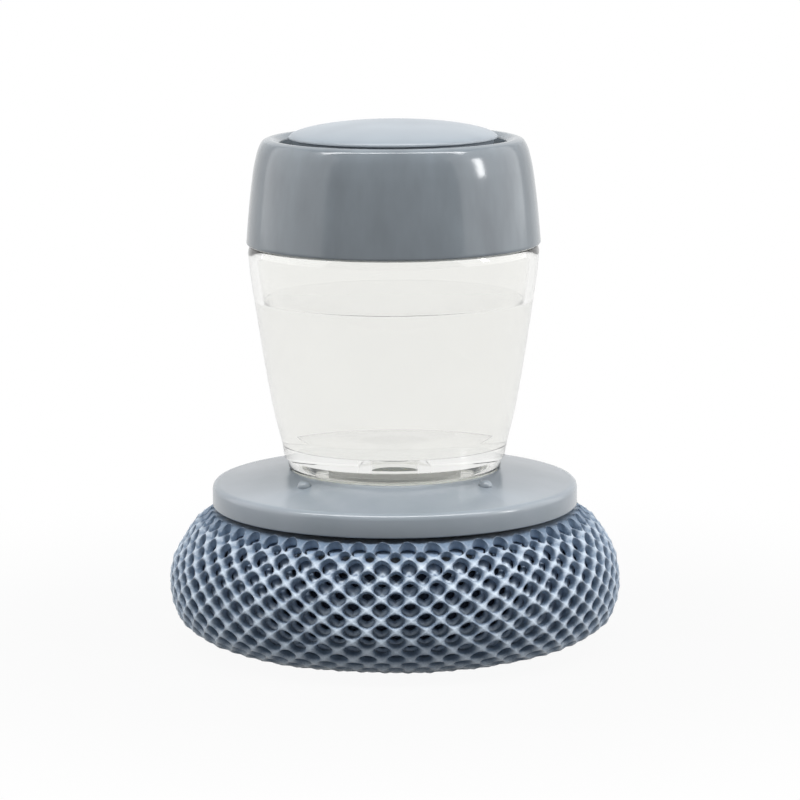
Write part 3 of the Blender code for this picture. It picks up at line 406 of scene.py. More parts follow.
# The yarn has a soft shine; its knots carry a painted highlight, and a paler colour deep in a cell is painted
# light for the light that comes through the yarn
YARN = KnittedYarn("knitted polyethylene yarn", "#8A9CB0", "#687A8F", "#B8C5D2", (0.28, 0.44))
# The inner layer lies in shade; it is darker deep in its cells as painted shade, and its knots carry a
# painted highlight pale enough to show through the cells
INNER_YARN = KnittedYarn("inner layer of knitted yarn", "#4A5B73", "#8CA0B8", "#D3DFEB", (0.35, 0.5))
# Cut foam is matt. Its slate colour is painted shade, so that the net's cells look dark, and painted shade
# darkens its open pores
SHADE_PAINTED_FOAM = CellFoam("polyurethane foam in painted shade", "#55637A", "#2B3648")


# Meshes


@dataclass(frozen=True)
class Corner:
    """One point of a turned outline: its distance from the axis, its height and its rounding."""

    radius: float
    height: float
    rounding: float = 0.0


def corners(*points: tuple) -> list[Corner]:
    """Corners from plain tuples of radius, height and maybe a rounding."""
    return [Corner(*point) for point in points]


def flowing(points: list[Corner], steps: int = 4) -> list[Corner]:
    """Draw a smooth line through points.

    Args:
        points: Points that the line passes through, in order.
        steps: New points for each stretch.

    Returns:
        The finer line, with both ends kept.
    """
    ends = [points[0], *points, points[-1]]
    line = []
    for before, start, end, after in zip(ends, ends[1:], ends[2:], ends[3:]):
        for k in range(steps):
            t = k / steps
            weights = (
                (-t + 2 * t ** 2 - t ** 3) / 2, (2 - 5 * t ** 2 + 3 * t ** 3) / 2,
                (t + 4 * t ** 2 - 3 * t ** 3) / 2, (t ** 3 - t ** 2) / 2,
            )
            four = (before, start, end, after)
            line.append(Corner(
                sum(w * p.radius for w, p in zip(weights, four)),
                sum(w * p.height for w, p in zip(weights, four)),
            ))
    return line + [points[-1]]


def new_object(name: str, shape: bmesh.types.BMesh, sharp: bool = True) -> bpy.types.Object:
    """Make a linked object from a finished bmesh, which is freed.

    Args:
        name: Name of the piece.
        shape: The finished shape.
        sharp: Whether its steep edges stay sharp under smooth shading.

    Returns:
        The new object, at the origin.
    """
    mesh = bpy.data.meshes.new(name)
    shape.to_mesh(mesh)
    shape.free()
    mesh.shade_smooth()
    if sharp:
        mesh.set_sharp_from_angle(angle=SHARP_ANGLE)
    obj = bpy.data.objects.new(name, mesh)
    bpy.context.scene.collection.objects.link(obj)
    return obj


def spin_wire(shape: bmesh.types.BMesh, segments: int) -> None:
    """Turn a wire in the XZ plane once round the axis and point its faces outwards."""
    bmesh.ops.spin(
        shape, geom=shape.verts[:] + shape.edges[:], axis=(0, 0, 1), angle=math.tau,
        steps=segments, use_merge=True,
    )
    bmesh.ops.remove_doubles(shape, verts=shape.verts[:], dist=MERGE_MM * MM)
    bmesh.ops.recalc_face_normals(shape, faces=shape.faces[:])


def wire_from(outline: list[Corner], closed: bool) -> bmesh.types.BMesh:
    """Draw an outline as a wire and round its corners.

    Args:
        outline: The outline's corners, in order.
        closed: Whether the last corner joins the first.

    Returns:
        A bmesh with the wire in the XZ plane.
    """
    shape = bmesh.new()
    verts = [shape.verts.new((c.radius * MM, 0, c.height * MM)) for c in outline]
    for a, b in zip(verts, verts[1:] + verts[:1] if closed else verts[1:]):
        shape.edges.new((a, b))
    for rounding in sorted({c.rounding for c in outline} - {0.0}):
        picked = [v for v, c in zip(verts, outline) if c.rounding == rounding]
        bmesh.ops.bevel(
            shape, geom=picked, affect="VERTICES", offset=rounding * MM,
            segments=ROUND_STEPS, profile=0.5, material=-1,
        )
    return shape


def turned(name: str, outline: list[Corner], segments: int = TURN_SEGMENTS) -> bpy.types.Object:
    """Turn an outline round the axis to a closed piece.

    Args:
        name: Name of the piece.
        outline: Closed outline, or one with both ends on the axis.
        segments: Steps of the full turn.

    Returns:
        The new object.
    """
    on_axis = outline[0].radius == 0 and outline[-1].radius == 0
    shape = wire_from(outline, not on_axis)
    spin_wire(shape, segments)
    return new_object(name, shape)


def joined(piece: bpy.types.Object, tools: list[bpy.types.Object]) -> None:
    """Join tools onto a piece and take the tools away.

    Args:
        piece: The piece that changes.
        tools: Closed shapes that meet it.
    """
    for tool in tools:
        modifier = piece.modifiers.new(tool.name, "BOOLEAN")
        modifier.operation = "UNION"
        modifier.solver = "EXACT"
        modifier.object = tool
    mesh = baked_mesh(piece)
    for tool in tools:
        bpy.data.objects.remove(tool, do_unlink=True)
    mesh.shade_smooth()
    mesh.set_sharp_from_angle(angle=SHARP_ANGLE)


def baked_mesh(piece: bpy.types.Object) -> bpy.types.Mesh:
    """Apply all of a piece's modifiers and return its new mesh."""
    graph = bpy.context.evaluated_depsgraph_get()
    mesh = bpy.data.meshes.new_from_object(piece.evaluated_get(graph))
    piece.modifiers.clear()
    mesh.name = piece.name
    piece.data = mesh
    return mesh


def seat(
    piece: bpy.types.Object, body: Body, slot: Slot, material: bpy.types.Material, *nodes: str,
) -> bpy.types.Object:
    """Dress a new piece and hang it on its body.

    Args:
        piece: The finished piece, at the origin.
        body: Body that it rides on.
        slot: The record's slot that its finish comes from. It is not used.
        material: Its node material.
        *nodes: CAD nodes that it stands for.

    Returns:
        The piece.
    """
    piece.data.materials.clear()
    piece.data.materials.append(material)
    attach(piece, body.value)
    if nodes:
        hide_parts(*nodes)
    log.info("%s: %d faces on %s", piece.name, len(piece.data.polygons), body.value)
    return piece


def dress_nodes(material: bpy.types.Material, *nodes: str) -> None:
    """Give CAD nodes that stay a better material."""
    for node in nodes:
        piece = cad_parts[node]
        piece.data.materials.clear()
        piece.data.materials.append(material)
        log.info("%s: kept, now %s", node, material.name)


def place_round(radius: float, angle: float, height: float) -> Vector:
    """A point beside the axis in metres, from millimetres and an angle from +X."""
    return Vector((radius * math.cos(angle), radius * math.sin(angle), height)) * MM


@dataclass(frozen=True)
class Thread:
    """One turn of a right-handed screw ridge."""

    wall_radius: float
    outside: bool
    width: float
    pitch: float
    lowest: float
    start: float
    height: float = 1.0
    root: float = 0.4
    crest_share: float = 0.5
    steps: int = 64

    def ridge(self, name: str) -> bpy.types.Object:
        """Build the ridge, buried a little in the wall that carries it."""
        side = 1 if self.outside else -1
        root, crest = self.wall_radius - side * self.root, self.wall_radius + side * self.height
        narrow = self.width * self.crest_share
        shape = bmesh.new()
        turn = Matrix.Rotation(self.start, 3, "Z")
        for radius, rise in ((root, -self.width), (crest, -narrow), (crest, narrow), (root, self.width)):
            shape.verts.new(turn @ Vector((radius, 0, self.lowest + rise / 2)) * MM)
        bmesh.ops.contextual_create(shape, geom=shape.verts[:])
        bmesh.ops.spin(
            shape, geom=shape.verts[:] + shape.edges[:] + shape.faces[:], axis=(0, 0, 1),
            angle=math.tau, steps=self.steps, dvec=(0, 0, self.pitch / self.steps * MM),
        )
        bmesh.ops.recalc_face_normals(shape, faces=shape.faces[:])
        return new_object(name, shape)


# Width, pitch and lowest point of the cap's thread and of the head's
CAP_THREAD = (1.2, 4.0, 79.4)
HEAD_THREAD = (1.0, 3.0, 29.7)

# Sub-assemblies


@dataclass
class NetPad:
    """The scrubbing pad: two layers of coarse knitted net, gathered over a foam core."""

    widest: float = 44.1
    height: float = 25.9
    shoulder: float = 36.0
    contact: float = 27.5
    mouth: float = 29.3
    tuck: float = 3.0
    upper: tuple = ((0.24, 0.948), (0.52, 0.848), (0.78, 0.725), (0.94, 0.603), (1.0, 0.421))
    lower: tuple = ((0.95, 0.265), (0.85, 0.159), (0.65, 0.080), (0.39, 0.031))
    columns: int = 50
    row_pitch: float = 4.05
    first_row: float = 3.7
    opening: tuple[float, float] = (0.61, 0.77)
    inner_opening: tuple[float, float] = (0.46, 0.58)
    gather_reach: float = 7.0
    tilt: float = math.radians(20)
    wall: float = 1.6
    funnel: float = 0.1
    pinch: float = 0.5
    pinch_lift: float = 1.1
    widen: float = 0.2
    lengthen: float = 0.27
    lift: float = 0.3
    knot_rise: float = 0.4
    rise_over: float = 3.0
    closed_rim: float = 0.35
    sway: float = 0.4
    sway_mm: float = 8.0
    sway_rise: float = 0.6
    inner_depth: float = 1.8
    inner_wall: float = 0.9
    underside: float = 0.35
    core_depth: float = 1.6
    core_side_top: float = 20.0
    core_top: float = 20.4
    cord: tuple = ((27.8, 25.2, 0.2), (28.7, 25.2, 0.2), (28.7, 26.1, 0.2), (27.8, 26.1, 0.2))

    def side(self, depth: float = 0.0) -> list[Corner]:
        """Outline of the pad from the net's mouth over the shoulder down to the tuck below.

        Args:
            depth: Distance below the outermost layer.

        Returns:
            A smooth outline in millimetres.
        """
        rising = [Corner(self.shoulder, self.height)]
        rising += [
            Corner(self.shoulder + (self.widest - self.shoulder) * out, self.height * up)
            for out, up in self.upper
        ]
        falling = [
            Corner(self.contact + (self.widest - self.contact) * out, self.height * up)
            for out, up in self.lower
        ]
        line = flowing([*rising, *falling, Corner(self.contact, self.underside)], 6)
        line = [Corner(self.mouth, self.height), *line, Corner(self.tuck, self.underside)]
        if not depth:
            return line
        moved = []
        for k, point in enumerate(line):
            before, after = line[max(k - 1, 0)], line[min(k + 1, len(line) - 1)]
            run = Vector((after.radius - before.radius, after.height - before.height)).normalized()
            moved.append(Corner(point.radius + run.y * depth, point.height - run.x * depth))
        return moved

    def rings(self, line: list[Corner], first: float, pitch: float) -> list[Corner]:
        """Rings of the net's grid at even steps along an outline, closer where the net is gathered.

        Args:
            line: Outline to walk along.
            first: Length along it of the first ring below the shoulder.
            pitch: Step between rings at full width.

        Returns:
            The rings, from the mouth to the tuck.
        """
        spans = [math.dist((a.radius, a.height), (b.radius, b.height)) for a, b in zip(line, line[1:])]
        total = sum(spans)
        start = (line[1].radius - line[0].radius) + first
        stops = [0.0]
        reach = start - pitch * math.floor((start - 0.5 * pitch) / pitch)
        while reach < total - 0.4 * pitch * self.tuck / self.contact:
            stops.append(reach)
            radius = self.point_at(line, spans, reach).radius
            low = reach > total - self.contact + self.tuck
            reach += pitch * (max(radius / self.contact, 0.2) ** 0.75 if low else 1.0)
        return [self.point_at(line, spans, stop) for stop in stops] + [line[-1]]

    @staticmethod
    def point_at(line: list[Corner], spans: list[float], reach: float) -> Corner:
        """The point at a length along an outline."""
        for a, b, span in zip(line, line[1:], spans):
            if reach <= span:
                share = reach / span if span else 0
                return Corner(
                    a.radius + (b.radius - a.radius) * share, a.height + (b.height - a.height) * share,
                )
            reach -= span
        return line[-1]

    def cells(self, depth: float, half_turn: bool, opening: tuple[float, float]) -> bmesh.types.BMesh:
        """Cut a turned grid into staggered open cells.

        Args:
            depth: Distance of the layer below the outermost one.
            half_turn: Whether the layer's cells lie half a cell over.
            opening: Shares of each cell's width and height that are open.

        Returns:
            The layer as an open sheet with a hole in each cell.
        """
        rings = self.rings(self.side(depth), self.first_row, self.row_pitch)
        middles = [
            Corner((a.radius + b.radius) / 2, (a.height + b.height) / 2) for a, b in zip(rings, rings[1:])
        ]
        shape = wire_from(rings, False)
        if half_turn:
            half_cell = Matrix.Rotation(math.pi / self.columns, 3, "Z")
            bmesh.ops.rotate(shape, verts=shape.verts[:], matrix=half_cell)
        spin_wire(shape, self.columns)
        low = min(shape.faces, key=lambda face: face.calc_center_median().z)
        if low.normal.z > 0:
            bmesh.ops.reverse_faces(shape, faces=shape.faces[:])
        grid = [edge for edge in shape.edges if not edge.is_boundary]
        for vert in bmesh.ops.poke(shape, faces=shape.faces[:])["verts"]:
            place = (vert.co.xy.length, vert.co.z)
            middle = min(middles, key=lambda m: math.dist((m.radius * MM, m.height * MM), place))
            flat = vert.co.xy.normalized() * middle.radius * MM
            vert.co = (flat.x, flat.y, middle.height * MM)
        bmesh.ops.dissolve_edges(shape, edges=grid)
        bmesh.ops.bisect_edges(shape, edges=shape.edges[:], cuts=1)
        shape.normal_update()
        middle_of = shape.verts.layers.float_vector.new(MIDDLE_LAYER)
        out_way = shape.verts.layers.float_vector.new(OUT_LAYER)
        for vert in shape.verts:
            vert[out_way] = vert.normal
        closed_above = (self.height - depth - self.closed_rim) * MM
        cells = [
            face for face in shape.faces
            if len(face.verts) == WHOLE_CELL and face.calc_center_median().z < closed_above
        ]
        spread = [self.spread(face) for face in cells]
        bmesh.ops.inset_individual(shape, faces=cells, thickness=0.05 * MM, use_even_offset=True)
        for face, half_size in zip(cells, spread):
            centre = face.calc_center_median()
            gathered = max(0.0, 1 - (self.height - depth - centre.z / MM) / self.gather_reach)
            turn = round(math.atan2(centre.x, -centre.y) * self.columns / math.pi) + half_turn
            self.shape_cell(face, half_size * Vector(opening), gathered, turn % 2 == 0)
            for vert in face.verts:
                vert[middle_of], vert[out_way] = centre, face.normal
        bmesh.ops.delete(shape, geom=cells, context="FACES")
        return shape

    @staticmethod
    def spread(face: bmesh.types.BMFace) -> Vector:
        """Half the width and half the height of a cell before it is opened."""
        centre = face.calc_center_median()
        around = Vector((-centre.y, centre.x, 0)).normalized()
        rising = face.normal.cross(around)
        across = [vert.co - centre for vert in face.verts]
        return Vector((max(abs(a.dot(around)) for a in across), max(abs(a.dot(rising)) for a in across)))

    def shape_cell(self, face: bmesh.types.BMFace, half_size: Vector, gathered: float, pinched: bool) -> None:
        """Make a cell round, and lean its upper rim out as the knitting pulls it.

        Where the net is gathered under the disc every second cell is drawn small and high.

        Args:
            face: The cell's face, before it is opened.
            half_size: Half the width and half the height of its opening.
            gathered: How strongly the net is gathered here, up to 1.
            pinched: Whether the gathering makes this cell small.
        """
        centre, way = face.calc_center_median(), face.normal.copy()
        around = Vector((-centre.y, centre.x, 0)).normalized()
        rising = way.cross(around)
        if rising.z < 0:
            rising.negate()
        leaned = rising * math.cos(self.tilt) + way * math.sin(self.tilt)
        size = half_size * (1 + gathered * (-self.pinch if pinched else self.widen))
        tall = size.y * (1 if pinched else 1 + self.lengthen * gathered)
        middle = centre + rising * (self.pinch_lift if pinched else self.lift) * gathered * MM
        for vert in face.verts:
            across = vert.co - centre
            turn = math.atan2(across.dot(rising) / half_size.y, across.dot(around) / half_size.x)
            vert.co = middle + around * size.x * math.cos(turn) + leaned * tall * math.sin(turn)

    def layer(
        self, name: str, depth: float, half_turn: bool, opening: tuple[float, float], wall: float,
    ) -> bpy.types.Object:
        """Give a sheet of cells its thickness and round its strands.

        Args:
            name: Name of the piece.
            depth: Distance of the layer below the outermost one.
            half_turn: Whether its cells lie half a cell over.
            opening: Shares of each cell's width and height that are open.
            wall: Thickness of the net.

        Returns:
            The layer's object.
        """
        shape = self.cells(depth, half_turn, opening)
        painted_light = shape.verts.layers.float.new(PAINTED_LIGHT_LAYER)
        place_of = shape.verts.layers.float_vector.new(PLACE_LAYER)
        middle_of = shape.verts.layers.float_vector[MIDDLE_LAYER]
        out_way = shape.verts.layers.float_vector[OUT_LAYER]
        # The knots get the full painted highlight and the rims half of it; below, the back of the net gets
        # the painted tone deep in a cell
        for vert in shape.verts:
            vert[painted_light] = CELL_EDGE
            if len(vert.link_faces) == WHOLE_CELL:
                below_top = (self.height - depth) * MM - vert.co.z
                rise = self.knot_rise * min(max(below_top / (self.rise_over * MM), 0.0), 1.0)
                vert.co += Vector(vert[out_way]) * rise * MM
                vert[painted_light] = 1.0
            vert[place_of] = vert.co
        front = set(shape.verts)
        bmesh.ops.solidify(shape, geom=shape.faces[:], thickness=wall * MM)
        for vert in set(shape.verts) - front:
            middle, way = Vector(vert[middle_of]), Vector(vert[out_way])
            vert.co = Vector(vert[place_of]) - way * wall * MM
            vert[painted_light] = 0.0
            if middle.length:
                vert.co = vert.co.lerp(middle + (vert.co - middle).project(way), self.funnel)
        for vert in shape.verts:
            drift = noise.noise_vector(vert.co / (self.sway_mm * MM))
            vert.co += Vector((drift.x, drift.y, drift.z * self.sway_rise)) * self.sway * MM
            vert.co.z = max(vert.co.z, MERGE_MM * MM)
        for used in (MIDDLE_LAYER, OUT_LAYER, PLACE_LAYER):
            shape.verts.layers.float_vector.remove(shape.verts.layers.float_vector[used])
        return new_object(name, shape, sharp=False)

    def build(self) -> None:
        """Build both layers, the foam core and the hem's cord."""
        outer = self.layer("scrub_net_cells", 0.0, False, self.opening, self.wall)
        soften = outer.modifiers.new("round_strands", "SUBSURF")
        soften.levels = soften.render_levels = 1
        seat(outer, Body.HEAD, Slot.YARN, YARN.material(), "scrub_net")
        inner = self.layer("inner_net_cells", self.inner_depth, True, self.inner_opening, self.inner_wall)
        seat(inner, Body.HEAD, Slot.YARN, INNER_YARN.material(), "inner_net")
        core = [c for c in self.side(self.inner_depth + self.core_depth) if c.height < self.core_side_top]
        outline = corners((0, self.core_top), (core[0].radius - 1.5, self.core_top, 0.8))
        outline += core[:-1] + [Corner(0, core[-1].height)]
        foam = turned("foam_filling", outline, 72)
        seat(foam, Body.HEAD, Slot.FOAM, SHADE_PAINTED_FOAM.material(), "foam_core")
        cord = turned("gathering_cord", corners(*self.cord), 96)
        seat(cord, Body.HEAD, Slot.YARN, YARN.material(), "hem_cord")


@dataclass
class HeadDisc:
    """The grey disc over the pad, with its socket, its bumps and what is screwed under it."""

    radius: float = 35.75
    bottom: float = 26.8
    crease: float = 31.3
    top: float = 34.0
    foot: float = 20.85
    edge_round: float = 1.2
    skin: float = 1.8
    socket: float = 16.8
    bump_circle: float = 24.5
    bump_radius: float = 1.35
    bump_height: float = 1.1
    seal_in: float = 17.6
    seal_out: float = 20.6
    seal_floor: float = 33.0
    socket_wall: float = 18.8
    rim_width: float = 2.1
    boss_bottom: float = 23.85
    boss_radius: float = 2.9
    screw_hole: float = 0.9

    def surface(self, radius: float) -> float:
        """Height of the disc's shallow cone at a distance from the axis."""
        run = self.radius - self.edge_round - self.foot
        return self.top - (self.top - self.crease) * (radius - self.foot) / run

    def build(self) -> None:
        """Build the disc and dress the pieces that stay as they are."""
        rim, under = self.radius - self.rim_width, self.seal_floor - self.skin
        outline = corners(
            (self.socket, self.top, 0.2), (self.seal_in, self.top, 0.2), (self.seal_in, self.seal_floor),
            (self.seal_out, self.seal_floor), (self.seal_out, self.top), (self.foot, self.top),
            (self.radius - self.edge_round * 1.05, self.crease + 0.02),
            (self.radius, self.crease, self.edge_round), (self.radius, self.bottom, 0.3),
            (rim, self.bottom, 0.2), (rim, self.surface(rim) - self.skin), (self.seal_out, under),
            (self.socket_wall, under), (self.socket_wall, self.bottom), (self.socket, self.bottom),
        )
        disc = turned("head_disc_moulding", outline)
        tools = [Thread(self.socket, False, *HEAD_THREAD, math.pi).ridge("socket_thread")]
        high = self.surface(self.bump_circle)
        for k in range(4):
            place = place_round(self.bump_circle, math.pi / 4 + k * math.pi / 2, high)
            tools.append(self.bump(f"bump_{k + 1}", place))
            tools.append(self.boss(f"boss_{k + 1}", place))
        joined(disc, tools)
        seat(disc, Body.HEAD, Slot.SATIN_ABS, SATIN_ABS.material(), "head_disc")
        dress_nodes(WHITE_PP.material(), "net_clamp_plate")
        dress_nodes(STEEL.material(), *(f"clamp_screw_{k}" for k in range(1, 5)))
        dress_nodes(SILICONE.material(), "base_seal")

    def bump(self, name: str, place: Vector) -> bpy.types.Object:
        """Rounded bump, half sunk in the disc's skin."""
        shape = bmesh.new()
        size = Matrix.Diagonal((self.bump_radius * MM, self.bump_radius * MM, self.bump_height * MM, 1))
        bmesh.ops.create_uvsphere(
            shape, u_segments=32, v_segments=20, radius=1, matrix=Matrix.Translation(place) @ size,
        )
        return new_object(name, shape)

    def boss(self, name: str, place: Vector) -> bpy.types.Object:
        """Round boss under a bump, with a hole for its screw."""
        low, high = self.boss_bottom, place.z / MM - self.skin / 2
        hole, outside = self.screw_hole, self.boss_radius
        wall = wire_from(corners((hole, low), (outside, low, 0.2), (outside, high), (hole, high)), True)
        spin_wire(wall, 32)
        bmesh.ops.translate(wall, verts=wall.verts[:], vec=(place.x, place.y, 0))
        return new_object(name, wall)


@dataclass
class Reservoir:
    """The clear tapered reservoir, with its valve in the floor and the soap inside."""

    foot: float = 20.85
    base: float = 21.6
    top: float = 28.3
    wall: float = 1.8
    foot_bottom: float = 34.3
    foot_top: float = 36.4
    body: float = 41.5
    floor_top: float = 39.0
    neck: float = 25.3
    neck_rim: float = 86.7
    spigot: float = 15.3
    spigot_bottom: float = 28.0
    shares: tuple = (
        (0.0, 0.0), (0.07, 0.08), (0.20, 0.28), (0.40, 0.51), (0.63, 0.73), (0.86, 0.94), (0.97, 1.0),
    )
    neck_wall: float = 1.9
    foot_width: float = 2.3
    foot_roof: float = 36.0
    floor_corner: float = 1.8
    spigot_bore: float = 13.0
    valve_hole: float = 4.5
    reflection_ring_bore: float = 25.7
    soap_level: float = 67.3
    soap_overlap: float = 0.03
    soap_gap: float = 0.02

    def side(self, inset: float) -> list[Corner]:
        """Smooth side of the reservoir, rising, an inset in from the outside."""
        swell = self.top - self.base
        return flowing([
            Corner(self.base + swell * out - inset, self.foot_top + self.body * up) for up, out in self.shares
        ], 5)

    def build(self) -> None:
        """Build the reservoir and its soap, and dress the valve."""
        shoulder = self.foot_top + self.body
        neck_inner = self.neck - self.neck_wall
        foot_inner = self.foot - self.foot_width
        lowest = self.floor_top + self.floor_corner
        inside = [c for c in self.side(self.wall) if c.height > lowest]
        outline = corners(
            (neck_inner, self.neck_rim, 0.3), (self.neck, self.neck_rim, 0.4), (self.neck, shoulder),
            (self.top - 0.3, shoulder, 0.2),
        )
        outline += self.side(0.0)[::-1]
        outline += corners(
            (self.foot, self.foot_top), (self.foot, self.foot_bottom, 0.3),
            (foot_inner, self.foot_bottom, 0.3), (foot_inner, self.foot_roof), (self.spigot, self.foot_roof),
            (self.spigot, self.spigot_bottom, 0.3), (self.spigot_bore, self.spigot_bottom, 0.3),
            (self.spigot_bore, self.foot_roof), (self.valve_hole, self.foot_roof),
            (self.valve_hole, self.floor_top, 0.2), (inside[0].radius - 0.1, self.floor_top, 0.12),
        )
        outline += inside + corners((inside[-1].radius, shoulder - 0.2, 0.1), (neck_inner, shoulder - 0.2))
        shell = turned("reservoir_moulding", outline)
        joined(shell, [
            Thread(self.neck, True, *CAP_THREAD, 0).ridge("neck_thread"),
            Thread(self.spigot, True, *HEAD_THREAD, 0).ridge("spigot_thread"),
        ])
        seat(shell, Body.BOTTLE, Slot.CLEAR, CLEAR_SAN.material(), "reservoir")
        # The soap reaches a hair into the plastic at the side, so that no film of air shines between them.
        # It ends a hair over the floor, and the air between them throws the light back, so the floor is pale
        wet = [
            c for c in self.side(self.wall - self.soap_overlap)
            if lowest < c.height < self.soap_level - 0.5
        ]
        last = wet[-1].radius + 0.1
        floor = self.floor_top + self.soap_gap
        soap_line = [Corner(0, floor), Corner(wet[0].radius - 0.1, floor, 0.1), *wet]
        # Its rim climbs the wall a little
        soap_line += corners(
            (last, self.soap_level + 0.25), (last - 0.3, self.soap_level + 0.1),
            (last - 0.9, self.soap_level), (0, self.soap_level),
        )
        soap = turned("soap_filling", soap_line)
        seat(soap, Body.BOTTLE, Slot.CLEAR, SOAP.material())
        # The pale ring under the shoulder is a painted reflection: seen through the clear wall, it makes the
        # band under the cap's edge white
        low, high, edge = shoulder + 0.03, shoulder + 0.27, self.top - 0.3
        reflection_ring = turned("shoulder_reflection_ring", corners(
            (self.reflection_ring_bore, low), (edge, low), (edge, high, 0.1), (self.reflection_ring_bore, high),
        ))
        seat(reflection_ring, Body.BOTTLE, Slot.SILICONE, SILICONE.material())
        dress_nodes(SILICONE.material(), "outlet_valve", "cap_gasket")
        dress_nodes(WHITE_PP.material(), "valve_retainer")


@dataclass
class Cap:
    """The glossy cap with the well that the button sinks into, and the air pump in it."""

    radius: float = 28.6
    bottom: float = 78.2
    top: float = 98.55
    draw: float = 3.0
    bore: float = 26.8
    rim: float = 24.2
    well: float = 22.0
    well_bottom: float = 89.8
    shares: tuple = (
        (0.0, 0.0), (0.215, 0.12), (0.44, 0.27), (0.68, 0.48), (0.79, 0.62), (0.89, 0.80), (0.955, 1.0),
    )
    lining: tuple = ((26.8, 87.0), (26.2, 87.2), (25.56, 91.4), (24.7, 95.9), (23.2, 96.7))
    wire: float = 0.9
    coil: float = 12.93
    coil_turns: int = 4
    wire_top: float = 98.5

    def build(self) -> None:
        """Build the shell and the spring, and dress the pump."""
        tall = self.top - self.bottom
        side = [Corner(self.radius - self.draw * draw, self.bottom + tall * up) for up, draw in self.shares]
        side.append(Corner((self.rim + side[-1].radius) / 2 + 0.2, self.bottom + tall * 0.984))
        side.append(Corner(self.rim, self.top))
        outer = flowing(side, 5)[::-1]
        outline = corners((self.well, self.top - 0.8, 0.2), (self.rim - 0.8, self.top, 0.25)) + outer[:-1]
        outline += corners(
            (self.radius, self.bottom, 0.25), (self.bore, self.bottom, 0.3), *self.lining,
            (self.lining[-1][0], self.well_bottom), (self.well, self.well_bottom),
        )
        shell = turned("cap_moulding", outline, 144)
        joined(shell, [Thread(self.bore, False, *CAP_THREAD, math.pi).ridge("cap_thread")])
        seat(shell, Body.CAP, Slot.GLOSS_ABS, GLOSS_ABS.material(), "cap_shell")
        spring = self.spring()
        seat(spring, Body.CAP, Slot.STEEL, STEEL.material(), "return_spring")
        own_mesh(spring)
        dress_nodes(WHITE_PP.material(), "pump_body", "guide_ring")
        dress_nodes(SILICONE.material(), "air_valve")

    def spring(self) -> bpy.types.Object:
        """Wind the return spring from one round wire."""
        low = self.well_bottom + self.wire / 2
        steps = self.coil_turns * 40
        start = Matrix.Translation(Vector((self.coil, 0, low)) * MM) @ Matrix.Rotation(math.pi / 2, 4, "X")
        shape = bmesh.new()
        bmesh.ops.create_circle(shape, cap_ends=True, segments=12, radius=self.wire / 2 * MM, matrix=start)
        bmesh.ops.spin(
            shape, geom=shape.verts[:] + shape.edges[:] + shape.faces[:], axis=(0, 0, 1),
            angle=math.tau * self.coil_turns, steps=steps, dvec=(0, 0, (self.wire_top - low) / steps * MM),
        )
        bmesh.ops.recalc_face_normals(shape, faces=shape.faces[:])
        return new_object("return_spring_wire", shape)


@dataclass
class PressButton:
    """The domed button, with its stem down to the pump's piston."""

    radius: float = 20.2
    edge: float = 98.8
    rise: float = 3.05
    fullness: float = 0.57
    lip: float = 0.7
    skirt_bottom: float = 94.4
    wall: float = 1.6
    spring_seat: tuple = ((14.28, 99.25), (11.58, 99.25))
    seat_end: float = 9.98
    stem: float = 5.0
    stem_end: tuple = ((5.0, 88.3), (2.4, 88.3), (2.4, 87.2), (0, 87.2))

    def dome(self, radius: float) -> float:
        """Height of the dome at a distance from the axis."""
        return self.edge + self.rise * (1 - (radius / self.radius) ** 2) ** self.fullness

    def build(self) -> None:
        """Build the button and dress its piston."""
        crown = [self.radius * math.sin(math.pi / 2 * k / 16) for k in range(17)]
        outline = [Corner(r, self.dome(min(r, self.radius))) for r in crown]
        inner = self.radius - self.wall
        # The dome stands a little over its skirt, and the groove under its edge lies in shade
        neck = self.radius - self.lip
        outline += corners(
            (self.radius, self.edge - 0.2), (neck, self.edge - 0.5), (neck, self.edge - 2.0),
            (self.radius, self.edge - 2.6), (self.radius, self.skirt_bottom, 0.2),
            (inner, self.skirt_bottom, 0.2), (inner, self.dome(inner) - self.wall), *self.spring_seat,
            (self.seat_end, self.dome(self.seat_end) - self.wall),
            (self.stem, self.dome(self.stem) - self.wall), *self.stem_end,
        )
        button = turned("press_button_moulding", outline)
        seat(button, Body.BUTTON, Slot.SATIN_ABS, BUTTON_ABS.material(), "press_button")
        dress_nodes(WHITE_PP.material(), "piston")
        dress_nodes(SILICONE.material(), "piston_seal")


# Studio


@dataclass(frozen=True)
class Softbox:
    """A flat oblong lamp that points at the brush."""

    name: str
    place: tuple[float, float, float]
    size: tuple[float, float]
    power: float

    def build(self, target: Vector) -> None:
        """Hang the lamp and turn it to the target."""
        lamp = bpy.data.lights.new(self.name, "AREA")
        lamp.shape = "RECTANGLE"
        lamp.size, lamp.size_y = self.size
        lamp.energy = self.power
        obj = bpy.data.objects.new(self.name, lamp)
        bpy.context.scene.collection.objects.link(obj)
        obj.location = self.place
        obj.rotation_euler = (Vector(self.place) - target).to_track_quat("Z", "Y").to_euler()
        # Seen through the clear wall a lamp would show as a streak
        obj.visible_transmission = False


